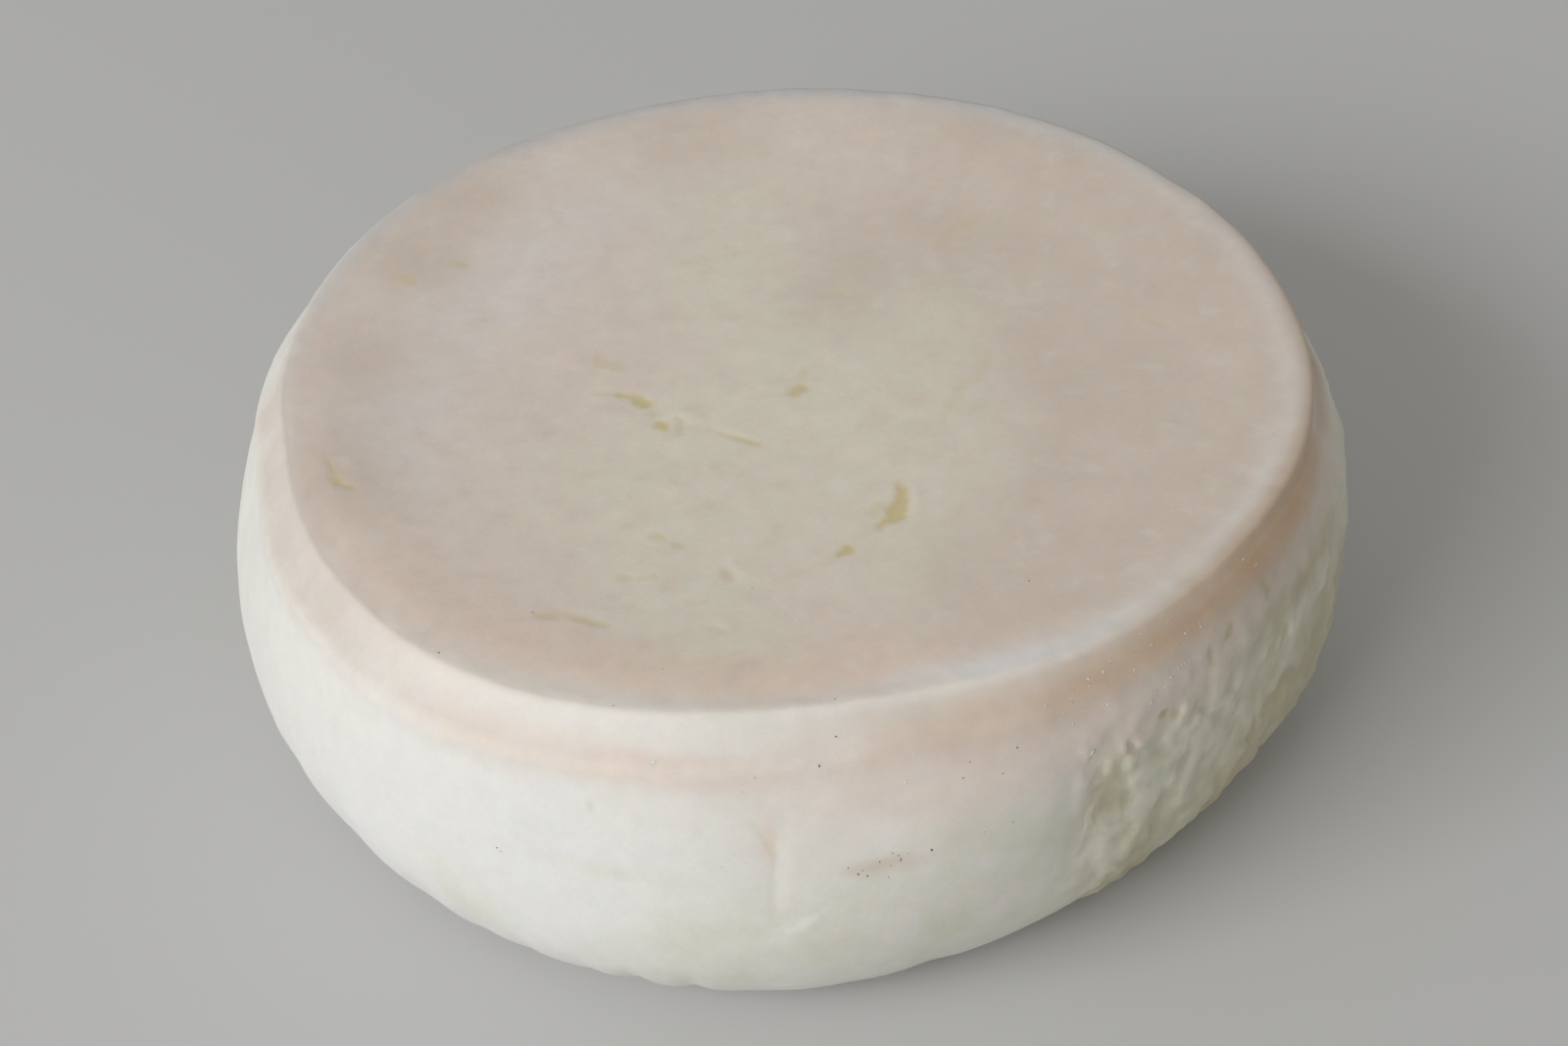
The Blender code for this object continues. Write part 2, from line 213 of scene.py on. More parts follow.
# Each stroke is a depth, how strongly it is coloured, and a line of places (x, y, half width);
# in millimetres.
FACE_STROKES = (
    (0.11, 1, ((15, -26.4, 0.4), (15.4, -28, 0.95), (15.2, -30, 1.15), (14.4, -31.6, 1.45),
               (14, -33, 1.25))),
    (0.11, 1, ((14.9, -33.4, 0.85), (13.6, -33.6, 0.95), (12.9, -34, 0.5))),
    (0.08, 0.8, ((12.4, -34.6, 0.55), (12, -35.2, 0.5))),
    (0.05, 0.35, ((12.9, -30.8, 1), (11.4, -32, 0.9))),
    (0.11, 1, ((6.5, -40.7, 0.3), (7, -40.1, 0.75), (7.7, -39.7, 0.95))),
    (0.04, 0.15, ((6.2, -40.6, 0.7), (4.6, -42, 0.7), (1.1, -43.8, 0.7), (-0.2, -44.3, 0.5))),
    (0.06, 0.25, ((-26.6, -2.6, 0.4), (-24.7, -2.9, 0.65), (-22.6, -3.2, 0.75))),
    (0.09, 0.8, ((-23.2, -3.2, 0.55), (-21.3, -3.8, 0.85), (-20.3, -4.6, 0.85))),
    (0.11, 0.95, ((-20.4, -4.9, 0.8), (-19.5, -5.6, 0.95), (-18.9, -6.1, 0.6))),
    (0.05, 0.25, ((-18.8, -6.8, 0.55), (-17.8, -8.2, 0.6))),
    (0.11, 1, ((-17.3, -10.5, 0.85), (-16.6, -10.9, 0.8))),
    (0.07, 0.45, ((-14.6, -9.2, 0.45), (-14.3, -11.2, 0.65), (-14.4, -12.8, 0.5))),
    (0.04, 0.15, ((-13, -11.3, 0.6), (-10.7, -11.8, 0.6), (-8.5, -12.8, 0.5))),
    (0.08, 0.4, ((-8.6, -13.2, 0.35), (-7, -14.2, 0.55), (-5.6, -15, 0.6))),
    (0.08, 0.65, ((-6.2, -14.8, 0.4), (-4.6, -15.4, 0.65), (-3.6, -15.9, 0.4))),
    (0.08, 0.8, ((1.5, -4.7, 0.95), (2.5, -4.1, 1.05))),
    (0.04, 0.3, ((2.7, -1.4, 0.8), (3.1, 0.2, 0.7))),
    (0.04, 0.35, ((-26, 4.6, 0.9), (-24.2, 3.8, 1.1), (-23.2, 3.2, 0.9))),
    (0.03, 0.2, ((29.4, 1.5, 0.7), (27.4, -2.9, 0.9), (25.6, -4.8, 1), (23.1, -9.7, 0.9),
                 (21.9, -13.2, 0.6))),
    (0.07, 0.45, ((-62.6, -17.2, 0.35), (-62, -18.8, 0.6), (-61.4, -20.2, 0.8))),
    (0.11, 0.75, ((-61.6, -20.6, 0.7), (-60.9, -21.8, 0.75), (-60, -22.6, 0.5),
                  (-58.7, -22.9, 0.3))),
    (0.06, 0.6, ((-32.3, -50.3, 0.5), (-31.2, -50.7, 0.75), (-30.3, -50.9, 0.5))),
    (0.04, 0.2, ((-29.8, -50, 0.7), (-27.9, -50.8, 0.7))),
    (0.06, 0.6, ((-27.8, -51.2, 0.5), (-25.9, -52, 0.7), (-23.6, -53.1, 0.4))),
    (0.05, 0.45, ((-17.6, -34.8, 0.7), (-16.8, -35.3, 0.65))),
    (0.04, 0.35, ((-14.8, -36.7, 0.6), (-13.8, -37, 0.5))),
    (0.05, 0.4, ((-22.8, -43.4, 0.3), (-21.6, -43, 0.4), (-20.6, -43.2, 0.3))),
    (0.04, 0.35, ((-19.4, -43.4, 0.3), (-17.8, -42.9, 0.35))),
    (0.06, 0.4, ((-8.6, -42, 0.4), (-7.9, -43.6, 0.65))),
    (0.04, 0.2, ((-12.8, -48.7, 0.35), (-11, -48.5, 0.35))),
    (0.04, 0.3, ((-9.8, -54.3, 0.4), (-8.7, -55.1, 0.4))),
    (0.04, 0.2, ((-28.9, -37.9, 0.4), (-28.3, -37.7, 0.35))),
    (0.04, 0.4, ((-48, 30.2, 0.8), (-46.6, 29.4, 0.7))),
    (0.04, 0.4, ((-56.4, 26.6, 0.9), (-54.6, 25.4, 1.2))),
    (0.03, 0.35, ((6.6, 17.6, 0.8), (8.6, 18.4, 1))),
    (0.03, 0.3, ((24, 30, 1), (29, 35, 1.2))),
    (0.03, 0.3, ((33, -31, 0.5), (33.8, -31.8, 0.5))),
    (0.03, 0.3, ((52, 8, 0.8), (53.4, 6.4, 0.8))),
)
# Flaps and grains of rind that stand up, laid out in the same way; they take no colour.
FACE_FLAPS = (
    (0.07, 0, ((-20.6, -2.6, 0.4), (-18.6, -3.2, 0.6), (-16.6, -4.4, 0.4))),
    (0.07, 0, ((-14, -8.4, 0.5), (-12.4, -9.4, 0.5))),
    (0.06, 0, ((-8.7, -11.7, 0.3), (-6.9, -12.6, 0.4), (-5.1, -13.5, 0.25))),
    (0.06, 0, ((0.2, -8.2, 0.8), (2.6, -9.6, 0.8))),
    (0.06, 0, ((16.9, -26.4, 0.5), (17.3, -29.2, 0.5))),
    (0.05, 0, ((16.2, -34.8, 0.5), (17.4, -33.4, 0.4))),
    (0.06, 0, ((6.8, -42.2, 0.4), (5.6, -43.4, 0.4))),
    (0.04, 0, ((-25.4, -21.8, 1), (-22.6, -22.6, 0.9))),
    (0.04, 0, ((-15.2, -25, 0.6), (-13.8, -25.8, 0.5))),
    (0.08, 0, ((-7.6, -40.2, 0.15), (-7.2, -41.6, 0.25))),
    (0.08, 0, ((-6.6, -42.6, 0.2), (-6.3, -43.5, 0.2))),
    (0.05, 0, ((-17.2, -46.6, 0.3), (-15.2, -47.4, 0.25), (-14, -47.6, 0.2))),
    (0.05, 0, ((-9, -53.2, 0.3), (-8, -54, 0.3))),
    (0.06, 0, ((-29.6, -46.2, 0.2), (-28.6, -46.6, 0.2))),
    (0.07, 0, ((-26, -49.4, 0.6), (-24, -50.2, 0.5))),
    (0.05, 0, ((-32.4, -43.8, 0.2), (-31.6, -43.8, 0.2))),
    (0.07, 0, ((-60.2, -16.8, 0.5), (-59, -18.8, 0.6))),
    (0.05, 0, ((13.4, -21, 0.3), (12.6, -22.6, 0.4))),
    (0.08, 0, ((52, -17.4, 0.25), (52.6, -17.7, 0.25))),
    (0.06, 0, ((54.1, -18.2, 0.2), (54.8, -18.4, 0.2))),
    (0.05, 0, ((2, -47.6, 0.3), (3, -48.6, 0.3))),
    (0.05, 0, ((-1.6, -49, 0.4), (-0.4, -50.4, 0.4))),
    (0.08, 0, ((-59.8, 24.6, 0.4), (-59.4, 25.4, 0.3))),
)
# In the side a place is (direction in degrees, height and half width in millimetres).
SIDE_STROKES = (
    (0.05, 0.15, ((-94.1, 39.4, 0.15), (-93.6, 38.2, 0.32), (-93.1, 37.2, 0.2))),
    (0.06, 0.18, ((-92.9, 36.4, 0.2), (-92.4, 35.4, 0.42), (-92.1, 34.6, 0.25))),
    (0.05, 0.08, ((-92.2, 34, 0.35), (-92.3, 30.4, 0.35), (-92.4, 27, 0.35), (-92.3, 24.8, 0.45))),
    (0.05, 0, ((-92.2, 24.8, 0.3), (-91.2, 24.3, 0.3), (-89.8, 24.8, 0.25))),
    (0.04, 0, ((-89.4, 25.4, 0.25), (-88.4, 26.2, 0.3), (-87.8, 27.2, 0.2))),
    (0.03, 0.1, ((-85.8, 31.6, 0.5), (-84.2, 31.5, 0.9), (-82, 32.2, 0.8), (-79.8, 33, 0.5))),
    (0.05, 0.2, ((-109, 40.2, 0.25), (-108.8, 39.4, 0.45))),
    (0.03, 0, ((-109.4, 42.4, 0.25), (-109.1, 41, 0.25))),
    (0.06, 0.12, ((-61.8, 39.9, 0.3), (-61.4, 38.2, 0.6), (-60.6, 36.6, 0.8))),
    (0.1, 0.18, ((-60.5, 36, 0.9), (-61, 34, 0.7), (-60.6, 32.4, 0.9), (-61, 30.8, 0.7))),
    (0.08, 0.15, ((-61, 30.4, 0.8), (-61.4, 28.4, 0.7), (-60.8, 25.6, 0.8), (-61.6, 22.6, 0.5))),
    (0.2, 0.9, ((-53.1, 40.7, 0.45), (-52.6, 40.3, 0.5))),
    (0.08, 0.4, ((-51.6, 39.6, 0.6), (-50.4, 38.4, 0.6))),
    (0.1, 0.5, ((-46.8, 46, 0.35), (-46.5, 45, 0.6), (-46.5, 44, 0.45))),
    (0.14, 0.75, ((-43.2, 46.9, 0.45), (-43.5, 46.2, 0.75), (-43.9, 45.6, 0.5))),
    (0.12, 0.6, ((-37.3, 48.4, 0.45), (-36.9, 47.4, 0.7), (-36.5, 46.7, 0.75))),
    (0.06, 0.3, ((-57.4, 38.8, 0.5), (-56.8, 36.8, 0.6))),
    (0.08, 0.3, ((-41.4, 33.6, 0.6), (-41.2, 30.6, 0.8))),
    (0.08, 0.3, ((-33, 36.6, 0.6), (-33.6, 33.4, 0.8))),
    (0.08, 0.3, ((-49, 32, 0.6), (-48.4, 29, 0.8))),
    (0.18, 0.5, ((-37.2, 21.6, 0.5), (-38.5, 16.5, 1), (-38.6, 12.5, 0.8))),
    (0.08, 0.4, ((-31.5, 25.6, 0.8), (-34, 24.7, 0.8), (-36, 24.4, 0.8), (-36.8, 22.4, 0.6))),
    (0.08, 0.3, ((-51, 26.2, 0.6), (-52, 24.3, 0.7), (-53.2, 22.3, 0.6))),
    (0.06, 0.2, ((-47.8, 39.4, 0.5), (-49, 36.4, 0.6))),
    (0.1, 0.2, ((137, 41, 0.5), (136.2, 33, 0.8), (137.4, 24, 0.5))),
    (0.18, 0.6, ((71, 36, 0.5), (70.2, 33.6, 0.7))),
    (0.12, 0.3, ((38, 42, 0.5), (38.6, 38, 0.8), (37.8, 34, 0.6))),
    (0.16, 0.6, ((12, 38, 0.6), (12.8, 34, 0.8))),
    (0.15, 0.5, ((102, 42, 0.4), (101.6, 39.6, 0.6))),
    (0.08, 0.1, ((168, 30, 0.5), (171, 27, 0.5))),
)
SIDE_FLAPS = (
    (0.11, 0, ((-91, 36, 0.7), (-90.6, 31, 1.1), (-91, 27.6, 0.7))),
    (0.14, 0, ((-88.6, 25.2, 0.4), (-89.8, 23.8, 0.6), (-91.2, 23.2, 0.4))),
    (0.1, 0, ((-91.8, 42, 0.3), (-90.4, 42.3, 0.3))),
    (0.1, 0, ((-105.2, 39.8, 0.2), (-104.9, 38.8, 0.2))),
    (0.24, 0, ((-62.3, 41.2, 0.3), (-61.9, 39.8, 0.35))),
    (0.21, 0, ((-62.8, 36.6, 0.7), (-62.6, 31, 0.8))),
    (0.28, 0, ((-59.4, 27, 0.8), (-58.9, 24, 1), (-59.6, 20.6, 0.7))),
    (0.17, 0, ((-55.4, 36, 0.9), (-55, 31, 1.1))),
)
# Shallow dents in the side: direction in degrees, height, spread round, spread up and depth in mm.
SIDE_DENTS = (
    (-77, 7, 2.6, 3.5, 0.35),
    (-100.4, 7, 1.1, 3.5, 0.5),
    (-106.2, 7.5, 1.3, 3.5, 0.6),
    (-111, 8, 1.2, 3, 0.25),
    (-117.5, 9, 1.1, 3, 0.25),
    (-123, 10, 1.6, 3.5, 0.3),
    (-129.5, 11, 3, 4, 0.45),
    (-141, 14.5, 3.6, 4, 0.6),
    (-151, 18, 1.8, 4, 0.3),
    (-161, 23, 5.5, 4.5, 0.45),
    (-173, 31, 2.4, 4, 0.35),
    (-31, 13, 1.2, 2.5, 0.3),
    (-42, 10, 1.2, 2.5, 0.3),
)
# Broad folds: direction in degrees, half width, depth, upper and lower end in millimetres.
CLOTH_FOLDS = (
    (-92.5, 2.6, 0.25, 40, 24),
    (-61, 2.8, 0.5, 42, 22),
    (-52, 2.8, 0.4, 43, 30),
    (-46, 3, 0.4, 38, 24),
    (-38, 3, 0.4, 42, 26),
    (-27, 3.2, 0.3, 42, 28),
    (24, 3.2, 0.7, 40, 16),
    (58, 3, 0.7, 38, 16),
    (104, 3.2, 0.7, 40, 14),
    (149, 2.8, 0.6, 36, 18),
)
# How far from a stroke its bowl and a flap's edge reach, in mm; strokes further off don't count.
# The face's strokes end inside the crest, and the side's begin above the groove.
PIT_EDGE, FLAP_EDGE, STROKE_MARGIN, FAR_OFF = 0.75, 0.90, 4, 1e3
FACE_STROKES_TO, SIDE_STROKES_FROM = CREST - 1 * MM, GROOVE - 4 * MM
# Lumps of curd: the directions between which they stand, how far below the groove they begin,
# their size, warp and heights, and the creases between them.
ROUGH_FROM, ROUGH_TO, ROUGH_FADES = -66.5, 72.5, (9, 9)
ROUGH_TOP, ROUGH_TOP_FADE = 1.5 * MM, 8 * MM
LUMP_WARP, LUMP_WARP_SIZE, LUMP_STRETCH = 1.4 * MM, 4 * MM, 0.78
# The last number on this line sets how sharply the colour turns from pale lump tops to painted shade
# in the gaps.
LUMP_HEIGHT, LUMP_RISE, LUMP_PAINTED_SHADE_CONTRAST = 0.44 * MM, 0.15 * MM, 0.9
CREASE_WIDTH, CREASE_DEPTH, CREASED_SHARE = 0.17, 0.14 * MM, 0.75
# The face rises to the rim gradually, and on one side it also turns up to a narrow lip.
GRADUAL_SHARE, RIM_LAND = 0.9, 2.5 * MM
LIP_TOWARDS, LIP_SHARE, LIP_WIDTH = -25, 0.4, 5 * MM
# The rim's edge is worn rounder on the side where the lid pressed hardest.
WORN_TOWARDS, WORN, WORN_SPREAD = -122, 0.55 * MM, 2.4 * MM
# Where the groove is shallow the rind has grown over it.
OVERGROWN_TOWARDS, OVERGROWN, OVERGROWN_SPREAD = -155, 0.9 * MM, 3.2 * MM
# Where the groove is deep, and the line that the lid's edge cut below the middle of it.
DEEP_FROM, DEEP_TO, DEEP_FADES = -80, 150, (38, 60)
LID_LINE_DEPTH, LID_LINE_BELOW, LID_LINE_WIDTH = 0.22 * MM, 0.2 * MM, 1.2 * MM
# Noises that are summed: height and size in millimetres, seed.
LUMP_NOISES = ((1, 2.5, 33), (0.40, 1.25, 34))
BROAD_LUMPS = ((0.24, 5.5, 38),)
CREASED_PATCHES = ((0.9, 7, 37),)
RAGGED_EDGES = ((0.20, 0.5, 11), (0.24, 1.1, 12))
FOLD_LEAN = ((1.2, 9, 21),)
SWELLINGS = ((0.28, 15, 31), (0.10, 6, 32))
RIND_GRAIN = ((0.030, 2.4, 35), (0.012, 1.3, 36))
LUMP_GRAIN = ((0.04, 1.2, 39),)
RIM_UNEVEN = ((0.10, 2.2, 40),)
RIM_UNEVEN_WIDTH = 2.5 * MM
# The face swells less than the side, from inside the crest on; all relief fades out at the floor.
FACE_CALM, CALM_TO, CALM_FADE = 0.6, 4 * MM, 8 * MM
FLOOR_FADE = 5 * MM
NOISE_CELLS = 48


def soft_noise(points, size, seed):
    """Random field from -1 to 1: numbers on a lattice `size` apart, blended by the smooth step."""
    lattice = np.random.default_rng(seed).uniform(-1, 1, (NOISE_CELLS,) * 3)
    at = points / size
    corner = np.floor(at).astype(int)
    share = ease(at - corner)
    total = np.zeros(len(points))
    for step in np.ndindex(2, 2, 2):
        weight = np.prod(np.where(step, share, 1 - share), axis=-1)
        total += weight * lattice[tuple(((corner + step) % NOISE_CELLS).T)]
    return total


def noises(points, layers):
    """Sum of random fields, each times its height, in millimetres."""
    return sum(height * soft_noise(points, size * MM, seed) for height, size, seed in layers)


def between(value, start, end, fades):
    """1 between two ends, with a smooth step up from the first and one down to the second."""
    return ease((value - start) / fades[0]) * ease((end - value) / fades[1])


def stroke_distance(places, stroke):
    """How far each place is outside a tapering line: distance to its axis less half its width."""
    nearest = np.full(len(places), np.inf)
    for (x0, y0, half0), (x1, y1, half1) in zip(stroke, stroke[1:]):
        start, run = np.array((x0, y0)), np.array((x1 - x0, y1 - y0))
        share = np.clip((places - start) @ run / (run @ run), 0, 1)
        gap = np.linalg.norm(places - start - share[:, None] * run, axis=-1)
        nearest = np.minimum(nearest, gap - half0 - (half1 - half0) * share)
    return nearest


def strokes_relief(places, ragged, strokes, edge):
    """Depth and colour of the deepest stroke, and the distance to the nearest: ragged bowls."""
    depth, colour = np.zeros(len(places)), np.zeros(len(places))
    nearest = np.full(len(places), np.inf)
    for deepest, strength, stroke in strokes:
        line = np.array(stroke)
        low, high = line[:, :2].min(0) - STROKE_MARGIN, line[:, :2].max(0) + STROKE_MARGIN
        close = np.flatnonzero(np.all((places > low) & (places < high), axis=1))
        outside = stroke_distance(places[close], stroke) + ragged[close]
        bowl = ease((edge - outside) / (edge + line[:, 2].max()))
        depth[close] = np.maximum(depth[close], deepest * bowl)
        colour[close] = np.maximum(colour[close], strength * ease((edge - outside) / (2 * edge)))
        nearest[close] = np.minimum(nearest[close], outside)
    return depth, colour, nearest


def round_wheel(strokes):
    """Side strokes with their directions turned into millimetres round the belly."""
    to_arc = math.radians(1) * BELLY_RADIUS / MM
    return [(*look, [(towards * to_arc, up, half) for towards, up, half in line])
            for *look, line in strokes]


def stroke_masks(along, angle, points):
    """Depth, olive and tan of the strokes, height of the flaps, distance to the nearest; in mm."""
    on_face, on_side = along < FACE_STROKES_TO, along > SIDE_STROKES_FROM
    ragged = noises(points, RAGGED_EDGES)
    face_places = np.where(on_face[:, None], points[:, :2] / MM, FAR_OFF)
    arc = np.radians(angle) * BELLY_RADIUS / MM
    side_places = np.where(on_side[:, None], np.stack([arc, points[:, 2] / MM], -1), FAR_OFF)
    side_strokes, side_flaps = round_wheel(SIDE_STROKES), round_wheel(SIDE_FLAPS)
    face_pit, olive, to_face_pit = strokes_relief(face_places, ragged, FACE_STROKES, PIT_EDGE)
    side_pit, tan, to_side_pit = strokes_relief(side_places, ragged, side_strokes, PIT_EDGE)
    face_flap = strokes_relief(face_places, ragged, FACE_FLAPS, FLAP_EDGE)[0]
    side_flap = strokes_relief(side_places, ragged, side_flaps, FLAP_EDGE)[0]
    flap = np.maximum(face_flap, side_flap)
    return np.maximum(face_pit, side_pit), olive, tan, flap, np.minimum(to_face_pit, to_side_pit)


def deep_groove(angle):
    """1 where the lid cut its groove sharply, 0 where the rind has swollen over it."""
    return between(angle, DEEP_FROM, DEEP_TO, DEEP_FADES)


def broad_dents(angle, points):
    """Depth of the cloth folds, which end above the floor, and of the dents: bell curves across."""
    arc, up = np.radians(angle) * BELLY_RADIUS, points[:, 2]
    folds, dents = np.zeros(len(angle)), np.zeros(len(angle))
    lean = MM * noises(points, FOLD_LEAN)
    for towards, half_width, deepest, top, bottom in CLOTH_FOLDS:
        across = np.radians(turned_away(angle, towards)) * BELLY_RADIUS + lean
        down_fold = (2 * up / MM - top - bottom) / (top - bottom)
        folds += deepest * MM * bell(across / (half_width * MM)) * np.exp(-down_fold ** 4)
    for towards, height, wide, tall, deepest in SIDE_DENTS:
        across = (arc - math.radians(towards) * BELLY_RADIUS) / (wide * MM)
        dents += deepest * MM * bell(np.hypot(across, (up - height * MM) / (tall * MM)))
    return folds * ease(up / FLOOR_FADE) + dents


def curd_lumps(along, angle, points):
    """Height of the lumps, their colour mask of pale tops and painted shade in the gaps, and where the
    side is rough: warped, drawn-out noise.
    """
    rough = between(angle, ROUGH_FROM, ROUGH_TO, ROUGH_FADES)
    rough = rough * ease((along - GROOVE - ROUGH_TOP) / ROUGH_TOP_FADE)
    warp = np.stack([soft_noise(points, LUMP_WARP_SIZE, seed) for seed in (41, 42, 43)], -1)
    warped = (points + LUMP_WARP * warp) * np.array((1, 1, LUMP_STRETCH))
    broad = noises(warped, LUMP_NOISES)
    crease = bell(broad / CREASE_WIDTH) * ease(CREASED_SHARE + noises(points, CREASED_PATCHES))
    lumps = LUMP_HEIGHT * broad - CREASE_DEPTH * crease + LUMP_RISE
    lumps += MM * (noises(warped, BROAD_LUMPS) + noises(points, LUMP_GRAIN))
    return rough * lumps, ease(0.5 + LUMP_PAINTED_SHADE_CONTRAST * broad), rough


def rim_shape(along, angle):
    """How far the face's gradual rise, the lip, the worn edge and the filled groove stand out.

    The face rises by the sine of the fifth power of the length, and by a parabola in the lip,
    more than by the parabola of the turned outline. The edge and the groove are bell curves.
    """
    share = np.minimum(along / (CREST - RIM_LAND), 1)
    rise = np.sin(share ** 5 * np.pi / 2)
    turned = np.clip((along - CREST + RIM_SLOPE_WIDTH) / RIM_SLOPE_WIDTH, 0, 1) ** 2
    lip = np.clip((along - CREST + LIP_WIDTH) / LIP_WIDTH, 0, 1) ** 2
    lip_share = LIP_SHARE * facing(angle, LIP_TOWARDS)
    gradual = GRADUAL_SHARE * FACE_DISH * ((1 - lip_share) * rise + lip_share * lip - turned)
    worn = WORN * facing(angle, WORN_TOWARDS) ** 4 * bell((along - CREST) / WORN_SPREAD)
    overgrown = OVERGROWN * facing(angle, OVERGROWN_TOWARDS) ** 3
    return gradual - worn + overgrown * bell((along - GROOVE) / OVERGROWN_SPREAD)


def rind_relief(along, angle, points):
    """How far the rind stands out of the even wheel, with its eye, scar, flap, lump and rough masks.

    The sum of the strokes, the lumps, the dents, the rim's own shape, soft swellings and a fine
    unevenness, which fade out where the wheel stands on the floor.
    """
    pit, eye, scar, flap, _ = stroke_masks(along, angle, points)
    lumps, lump, rough = curd_lumps(along, angle, points)
    swelling = MM * noises(points, SWELLINGS)
    swelling *= FACE_CALM + (1 - FACE_CALM) * ease((along - CREST + CALM_TO) / CALM_FADE)
    lid_line = bell((along - GROOVE - LID_LINE_BELOW) / LID_LINE_WIDTH)
    uneven_rim = MM * noises(points, RIM_UNEVEN) * bell((along - CREST) / RIM_UNEVEN_WIDTH)
    out = (swelling + MM * noises(points, RIND_GRAIN) + lumps) * ease(points[:, 2] / FLOOR_FADE)
    out -= np.where(along > GROOVE, broad_dents(angle, points), 0.0)
    out -= LID_LINE_DEPTH * deep_groove(angle) * lid_line
    out += rim_shape(along, angle) + uneven_rim + (flap - pit) * MM
    return out, eye, scar, flap, lump, rough


# --------------------
# The rind as one closed mesh. It is laid out flat first, as a round net of squares whose
# distance from the middle is the length along the outline, cut finer round the eyes and creases,
# and then wrapped onto the wheel.
NET_HALF = 72                 # squares from the middle of the net to its edge
NET_END = CREST - 5 * MM
FRONT_CROWDING = 0.28
RIM_SPACING, SIDE_SPACING, BASE_SPACING = 0.58 * MM, 0.80 * MM, 2.5 * MM
BASE_LAST_RING = BASE + 5 * MM
CUT_WITHIN = 0.75, 0.2        # of a stroke, in millimetres: cut once, and once more


def round_net():
    """A square net bent into a disc: each square ring becomes a circle, its sides quarter turns."""
    steps = np.arange(-NET_HALF, NET_HALF + 1)
    across, up = np.meshgrid(steps, steps, indexing="ij")
    ring = np.maximum(np.abs(across), np.abs(up))
    whole = np.maximum(ring, 1)
    sideways = np.abs(across) >= np.abs(up)
    to_side = np.where(across > 0, up / whole, 4 - up / whole)
    to_end = np.where(up > 0, 2 - across / whole, 6 + across / whole)
    turn = np.where(sideways, to_side, to_end) * math.pi / 4
    return ring.ravel() * NET_END / NET_HALF, (turn.ravel() + math.pi) % (2 * math.pi) - math.pi


def side_lengths():
    """Lengths along the outline of the rings outside the net, closer at the rim than on the side."""
    even = np.linspace(NET_END, BASE_LAST_RING, 4000)
    spacing = np.where(even < GROOVE + 4 * MM, RIM_SPACING, SIDE_SPACING)
    spacing = np.where(even > BASE, BASE_SPACING, spacing)
    rings_so_far = np.concatenate([[0.0], np.cumsum(np.diff(even) / spacing[1:])])
    return np.interp(np.arange(1, int(rings_so_far[-1]) + 1), rings_so_far, even)


def flat_wheel():
    """Flat points and faces: the round net, rings from its edge on, and one face under the base."""
    length, turn = round_net()
    side = 2 * NET_HALF + 1
    net = np.arange(side * side).reshape(side, side)
    squares = np.stack([net[:-1, :-1], net[1:, :-1], net[1:, 1:], net[:-1, 1:]], -1).reshape(-1, 4)
    edge = np.unique(np.concatenate([net[0], net[-1], net[:, 0], net[:, -1]]))
    edge = edge[np.argsort(turn[edge])]
    rings = side_lengths()
    index = np.arange(len(rings) * len(edge)).reshape(len(rings), -1) + side * side
    index = np.concatenate([edge[None], index])
    after = np.roll(index, -1, axis=1)
    strips = np.stack([index[:-1], index[1:], after[1:], after[:-1]], -1).reshape(-1, 4)
    length = np.concatenate([length, np.repeat(rings, len(edge))])
    turn = np.concatenate([turn, np.tile(turn[edge], len(rings))])
    turn = turn - FRONT_CROWDING * np.sin(turn + math.pi / 2)
    points = np.stack([length * np.cos(turn), length * np.sin(turn), np.zeros_like(turn)], -1)
    return points, squares.tolist() + strips.tolist() + [index[-1, ::-1].tolist()]


def along_and_angle(data):
    """Length along the outline and direction in degrees of the points of the flat wheel."""
    flat = np.zeros(len(data.vertices) * 3)
    data.vertices.foreach_get("co", flat)
    x, y = flat[0::3], flat[1::3]
    return np.hypot(x, y), np.degrees(np.arctan2(y, x))


def cut_finer(data, closer_than):
    """Halves every edge that has an end within some millimetres of a stroke."""
    along, angle = along_and_angle(data)
    nearest = stroke_masks(along, angle, wheel_place(along, angle))[-1]
    ends = np.zeros(len(data.edges) * 2, int)
    data.edges.foreach_get("vertices", ends)
    chosen = np.flatnonzero((nearest < closer_than)[ends.reshape(-1, 2)].any(axis=1))
    work = bmesh.new()
    work.from_mesh(data)
    work.edges.ensure_lookup_table()
    bmesh.ops.subdivide_edges(work, edges=[work.edges[i] for i in chosen], cuts=1, use_grid_fill=True)
    work.to_mesh(data)
    work.free()


def add_mask(data, name, values):
    """A number for each point, which the materials read by name."""
    data.attributes.new(name, "FLOAT", "POINT").data.foreach_set("value", values.astype(np.float32))


flat_points, flat_faces = flat_wheel()
wheel_data = bpy.data.meshes.new("goat_cheese")
wheel_data.from_pydata(flat_points.tolist(), [], flat_faces)
for closer_than in CUT_WITHIN:
    cut_finer(wheel_data, closer_than)

along, angle = along_and_angle(wheel_data)
points = wheel_place(along, angle)
relief, eye, scar, flap, lump, rough = rind_relief(along, angle, points)
rind_points = points + wheel_outwards(along, angle) * relief[:, None]
rind_points[:, 2] = np.where(along > BASE, 0.0, np.maximum(rind_points[:, 2], 0.0))
wheel_data.vertices.foreach_set("co", (rind_points + slide).ravel())
wheel_data.update()
wheel_data.shade_smooth()
